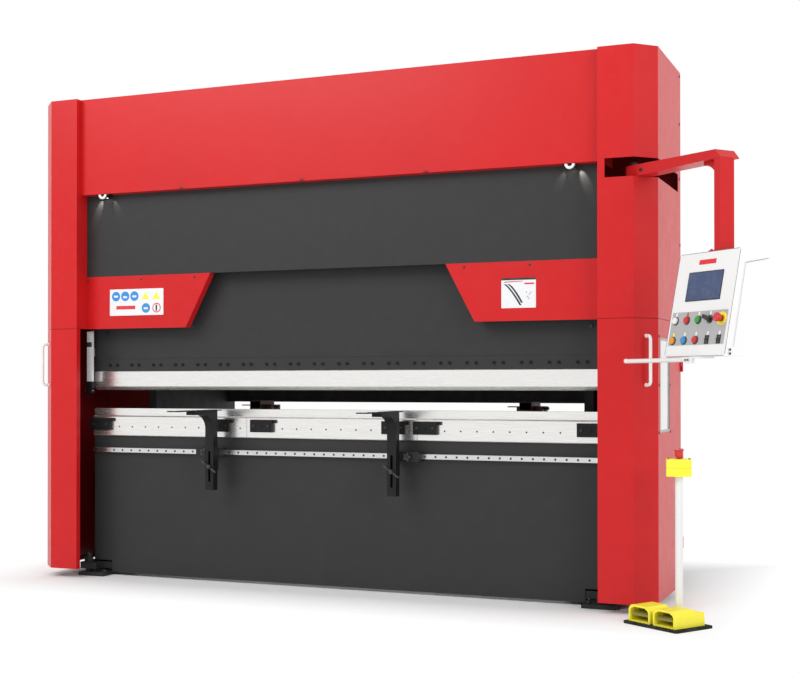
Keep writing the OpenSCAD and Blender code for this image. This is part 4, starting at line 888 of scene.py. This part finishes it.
# Faces of the two palm buttons, with three turning marks each
for n, zz, xx in (("pendant_stop", PN, PX), ("stand_stop", Z, X)):
    mk = Piece(n + "_cap", n, "btn_red")
    yy = np.cross(zz, xx)
    if n == "stand_stop":
        org, rad = np.array((post_p[0], post_p[1], box_of(n)[1][2])), 0.0225
    else:
        org, rad = panel(s5, t5, 0.038)["origin"], 0.0190
        mk.add(lathe([(0.0111, 0.0078), (0.0116, 0.0078), (0.0116, 0.0118), (0.0111, 0.0118)], 32), PLASTIC,
               **panel(s5, t5, face))
    mk.add(lathe([(rad * 0.96, -0.004), (rad, -0.001), (rad * 0.93, 0.0012), (rad * 0.6, 0.0024),
                  (rad * 0.3, 0.0028), (0, 0.0029)], 36), RED_PL, org - zz * 0.0022, xx, yy, zz)
    for k in range(3):
        a = k * 2 * math.pi / 3
        c = (0.011 * math.cos(a), 0.011 * math.sin(a))
        arrow = [(c[0] - 0.002, c[1] - 0.001), (c[0] + 0.003, c[1]), (c[0] - 0.002, c[1] + 0.001)]
        mark(mk, arrow, 0, 0.0004, SIGN_WHITE, dict(origin=org + zz * 0.0002, x=xx, y=yy, z=zz))
    mk.make()

# ---------------------------------------------------------------- back gauge, hydraulics and rear
gz = box_of("gauge_rails")
gc = box_of("gauge_carriage")
gg = Piece("gauge_blocks", "gauge_carriage", "machined")
for s in (-1, 1):
    for y in (gc[0][1] + 0.03, gc[1][1] - 0.03):
        for dx in (-0.018, 0.018):
            gg.add(cap_screw(0.006, 0.003), OXIDE, (s * 1.0 + dx, y, gz[1][2] + 0.0303))
gg.make()
for n, cx in (("finger_left", -0.775), ("finger_right", 0.947)):
    lo, hi = box_of(n)
    fp = Piece(n + "_faces", n, "machined")
    fp.add(soft_box((cx - 0.038, lo[1], 0.978), (cx + 0.030, lo[1] + 0.012, 1.0205), 0.0015), GRIND)
    for dx in (-0.024, 0.016):
        fp.add(cap_screw(0.005, 0.004), OXIDE, (cx + dx, lo[1] + 0.05, 1.0228))
    fp.make()

rear = Piece("rear_details", "machine", "frame_dark")
tk = box_of("oil_tank")
cyl = box_of("cylinders")
plate_back = front_y + 1.430
for x in np.linspace(-1.28, 1.28, 9):
    for z in (1.04, 2.46):
        rear.add(cap_screw(0.009, 0.007), OXIDE, (x, plate_back, z), -X, Z, Y)
for x in (-0.64, 0.0, 0.64):
    rear.add(soft_box((x - 0.02, plate_back, 1.09), (x + 0.02, plate_back + 0.018, 2.41), 0.004), FRAME)
for z in (1.4, 2.1):
    rear.add(soft_box((-1.25, plate_back, z - 0.02), (1.25, plate_back + 0.014, z + 0.02), 0.004), FRAME)
rear.make()

CYL_X, VALVE_Z = 1.181, 2.258   # the cylinders' axes, and the height their valve blocks are set out from
cyl_d = Piece("cylinder_details", "machine", "frame_dark")
cy = front_y + 0.220
ztop = cyl[1][2]
for s in (-1, 1):
    x = s * CYL_X
    cyl_d.add(lathe([(0.0, 0.0), (0.075, 0.0), (0.078, 0.004), (0.078, 0.018), (0.074, 0.022), (0, 0.022)], 40),
              BLACK, (x, cy, ztop))
    for k in range(8):
        a = math.radians(k * 45 + 22.5)
        cyl_d.add(cap_screw(0.009, 0.009), OXIDE, (x + 0.083 * math.cos(a), cy + 0.083 * math.sin(a), ztop))
    vb = (x, cy + 0.095 + 0.110, VALVE_Z + 0.12)
    for k in range(2):
        cyl_d.add(lathe([(0, 0), (0.022, 0), (0.022, 0.05), (0.019, 0.055), (0.012, 0.057), (0, 0.058)], 28),
                  PLASTIC, (vb[0] - 0.03 + k * 0.06, vb[1], vb[2] + 0.09), X, -Z, Y)
    for dx in (-0.045, 0.045):
        for dz in (0.02, 0.16):
            cyl_d.add(cap_screw(0.006, 0.006), OXIDE, (vb[0] + dx, vb[1], vb[2] + dz), -X, Z, Y)
cyl_d.make()

# Rigid oil pipes from the valve blocks to the tank, each with its union nuts
pipes = Piece("oil_pipes", "machine", "machined")
for s in (-1, 1):
    for k in range(2):
        p0 = np.array((s * CYL_X + (-0.03 + 0.06 * k), cy + 0.205, VALVE_Z + 0.26))
        p3 = np.array((s * (tk[1][0] - 0.05 - 0.06 * k), tk[0][1], tk[1][2] - 0.10))
        p1 = p0 + np.array((0, 0.10 + 0.05 * k, 0))
        p2 = np.array((p3[0], p1[1], p0[2]))
        raw = [p0, p1, p2, np.array((p3[0], p1[1], p3[2])), p3]
        # Bends: quadratic curves (1 - t)^2 a + 2 t (1 - t) q + t^2 b from a to b round each corner q
        bend = 0.03
        pts = [p0]
        for before, q, after in zip(raw, raw[1:], raw[2:]):
            u = (before - q) / max(np.linalg.norm(before - q), 1e-6)
            v = (after - q) / max(np.linalg.norm(after - q), 1e-6)
            for t in np.linspace(0, 1, 7):
                pts.append((1 - t) ** 2 * (q + u * bend) + 2 * t * (1 - t) * q + t * t * (q + v * bend))
        pts.append(p3)
        pipes.add(tube(pts, 0.009, 14), CHROME)
        for q, zz in ((p0, Y), (p3, -Y)):
            pipes.add(hex_nut(0.016, 0.02), ZINC, q, X, np.cross(zz, X), zz, smooth=False)
pipes.make()

LID_Z = 2.470   # top of the oil tank's lid
tkd = Piece("tank_details", "machine", "tank_grey")
tkd.add(lathe([(0.0, 0.0), (0.044, 0.0), (0.046, 0.003), (0.046, 0.016), (0.040, 0.022), (0, 0.023)], 40),
        BLACK, (-0.43, front_y + 1.1, tk[1][2]))
for x in (-0.28, 0.32):
    tkd.add(soft_box((x - 0.014, tk[0][1] - 0.012, tk[0][2] + 0.07),
                     (x + 0.014, tk[0][1] - 0.008, tk[0][2] + 0.29), 0.002), SCREEN)
for x in np.linspace(-0.52, 0.52, 9):
    tkd.add(cap_screw(0.006, 0.005), OXIDE, (x, front_y + 1.02, LID_Z))
tkd.make()

mt = Piece("motor_details", "machine", "motor_blue")
mz, my = LID_Z + 0.130, front_y + 1.2   # the motor's axis
mt.add(lathe([(0.0, 0.0), (0.083, 0.0), (0.086, 0.004), (0.086, 0.02), (0.080, 0.026), (0.02, 0.03), (0, 0.03)], 44),
       BLUE_PAINT, (0.205, my, mz), Y, Z, X)
for k in range(5):
    r = 0.02 + 0.013 * k
    mt.add(lathe([(r, 0.0), (r + 0.005, 0.0), (r + 0.005, 0.003), (r, 0.003)], 40), SIGN_DARK,
           (0.2345, my, mz), Y, Z, X)
mt.add(soft_box((-0.035, my - 0.128, mz + 0.034), (0.065, my - 0.118, mz + 0.106), 0.003), BLUE_PAINT)
mt.make()

# ---------------------------------------------------------------- camera
cam = bpy.data.objects.new("photo_camera", bpy.data.cameras.new("photo_camera"))
bpy.context.scene.collection.objects.link(cam)
cam.location = (3.0666, -6.2883 + front_y, 1.1235)
cam.rotation_euler = (math.pi / 2 + 0.006, 0.0003, 0.3887)
cam.data.sensor_width = 36
cam.data.sensor_fit = "HORIZONTAL"
cam.data.lens = 58.57
cam.data.shift_y = 0.05
cam.data.clip_end = 60
bpy.context.scene.camera = cam

# ---------------------------------------------------------------- floor and light
floor_mat = bpy.data.materials.new("floor_white")
floor_mat.use_nodes = True
ftree = floor_mat.node_tree
fb = ftree.nodes["Principled BSDF"]
fb.inputs["Base Color"].default_value = (0.9, 0.9, 0.9, 1)
fb.inputs["Roughness"].default_value = 0.7
fb.inputs["Specular IOR Level"].default_value = 0.1
# The floor turns into plain white away from the machine
fco = ftree.nodes.new("ShaderNodeTexCoord")
fxyz = ftree.nodes.new("ShaderNodeSeparateXYZ")
ftree.links.new(fco.outputs["Object"], fxyz.inputs[0])
fx = math2(ftree, "SUBTRACT", math2(ftree, "ABSOLUTE", fxyz.outputs["X"], 0.0), 1.7)
fy = math2(ftree, "SUBTRACT", math2(ftree, "ABSOLUTE", fxyz.outputs["Y"], 0.0), 0.8)
far = ramp(ftree, math2(ftree, "MAXIMUM", fx, fy), 0.0, 0.5)
glow = node(ftree, "ShaderNodeEmission")
glow.inputs["Color"].default_value = (1, 1, 1, 1)
fmix = ftree.nodes.new("ShaderNodeMixShader")
ftree.links.new(far, fmix.inputs[0])
ftree.links.new(fb.outputs[0], fmix.inputs[1])
ftree.links.new(glow.outputs[0], fmix.inputs[2])
ftree.links.new(fmix.outputs[0], ftree.nodes["Material Output"].inputs["Surface"])
me = bpy.data.meshes.new("studio_floor")
me.from_pydata([(-30, -30, 0), (30, -30, 0), (30, 30, 0), (-30, 30, 0)], [], [(0, 1, 2, 3)])
me.materials.append(floor_mat)
floor = bpy.data.objects.new("studio_floor", me)
bpy.context.scene.collection.objects.link(floor)
floor.location = (0, 0, -0.001)


def area(name, loc, target, size, power):
    """A rectangular lamp that looks at a point."""
    d = bpy.data.lights.new(name, "AREA")
    d.energy, d.shape, d.size, d.size_y = power, "RECTANGLE", size[0], size[1]
    o = bpy.data.objects.new(name, d)
    o.location = loc
    o.rotation_euler = (Vector(target) - Vector(loc)).to_track_quat("-Z", "Y").to_euler()
    bpy.context.scene.collection.objects.link(o)


area("key", (-3.5, -6.5, 6.0), (0, -0.6, 1.3), (5, 4), 300)
area("fill", (6.5, -4.5, 3.5), (1.2, -0.3, 1.3), (4, 4), 165)
area("top", (0, -1.0, 7.5), (0, 0, 1), (7, 4), 60)
area("back", (-2.2, 7, 5), (0, 0, 1.2), (5, 4), 150)


def beam(loc, turn, power):
    """A narrow warm beam of one of the work lamps."""
    d = bpy.data.lights.new("work_light", "SPOT")
    d.energy, d.spot_size, d.spot_blend, d.shadow_soft_size = power, 0.62, 0.5, 0.006
    d.color = (1, 0.97, 0.9)
    o = bpy.data.objects.new("work_light", d)
    o.location, o.rotation_euler = loc, turn
    bpy.context.scene.collection.objects.link(o)


for s in (-1, 1):
    for k in (-1, 1):
        c = (s * LAMP_X - 0.030 * k, hd[0][1] + 0.035, lamp_z + 0.016)
        beam(c, (0.40, 0.42 * k, 0), 2.2 if s * k < 0 else 0.6)

world = bpy.data.worlds.new("studio")
bpy.context.scene.world = world
world.use_nodes = True
wt = world.node_tree
bg = wt.nodes["Background"]
bg.inputs["Color"].default_value = (1, 1, 1, 1)
bg.inputs["Strength"].default_value = 0.55
white = node(wt, "ShaderNodeBackground")
white.inputs["Color"].default_value = (1, 1, 1, 1)
white.inputs["Strength"].default_value = 1.0
lp = wt.nodes.new("ShaderNodeLightPath")
ms = wt.nodes.new("ShaderNodeMixShader")
glossy = math2(wt, "MAXIMUM", lp.outputs["Is Glossy Ray"], lp.outputs["Is Transmission Ray"])
seen = math2(wt, "MAXIMUM", lp.outputs["Is Camera Ray"], glossy)
wt.links.new(seen, ms.inputs[0])
wt.links.new(bg.outputs[0], ms.inputs[1])
wt.links.new(white.outputs[0], ms.inputs[2])
wt.links.new(ms.outputs[0], wt.nodes["World Output"].inputs["Surface"])
bpy.context.scene.view_settings.view_transform = "Standard"
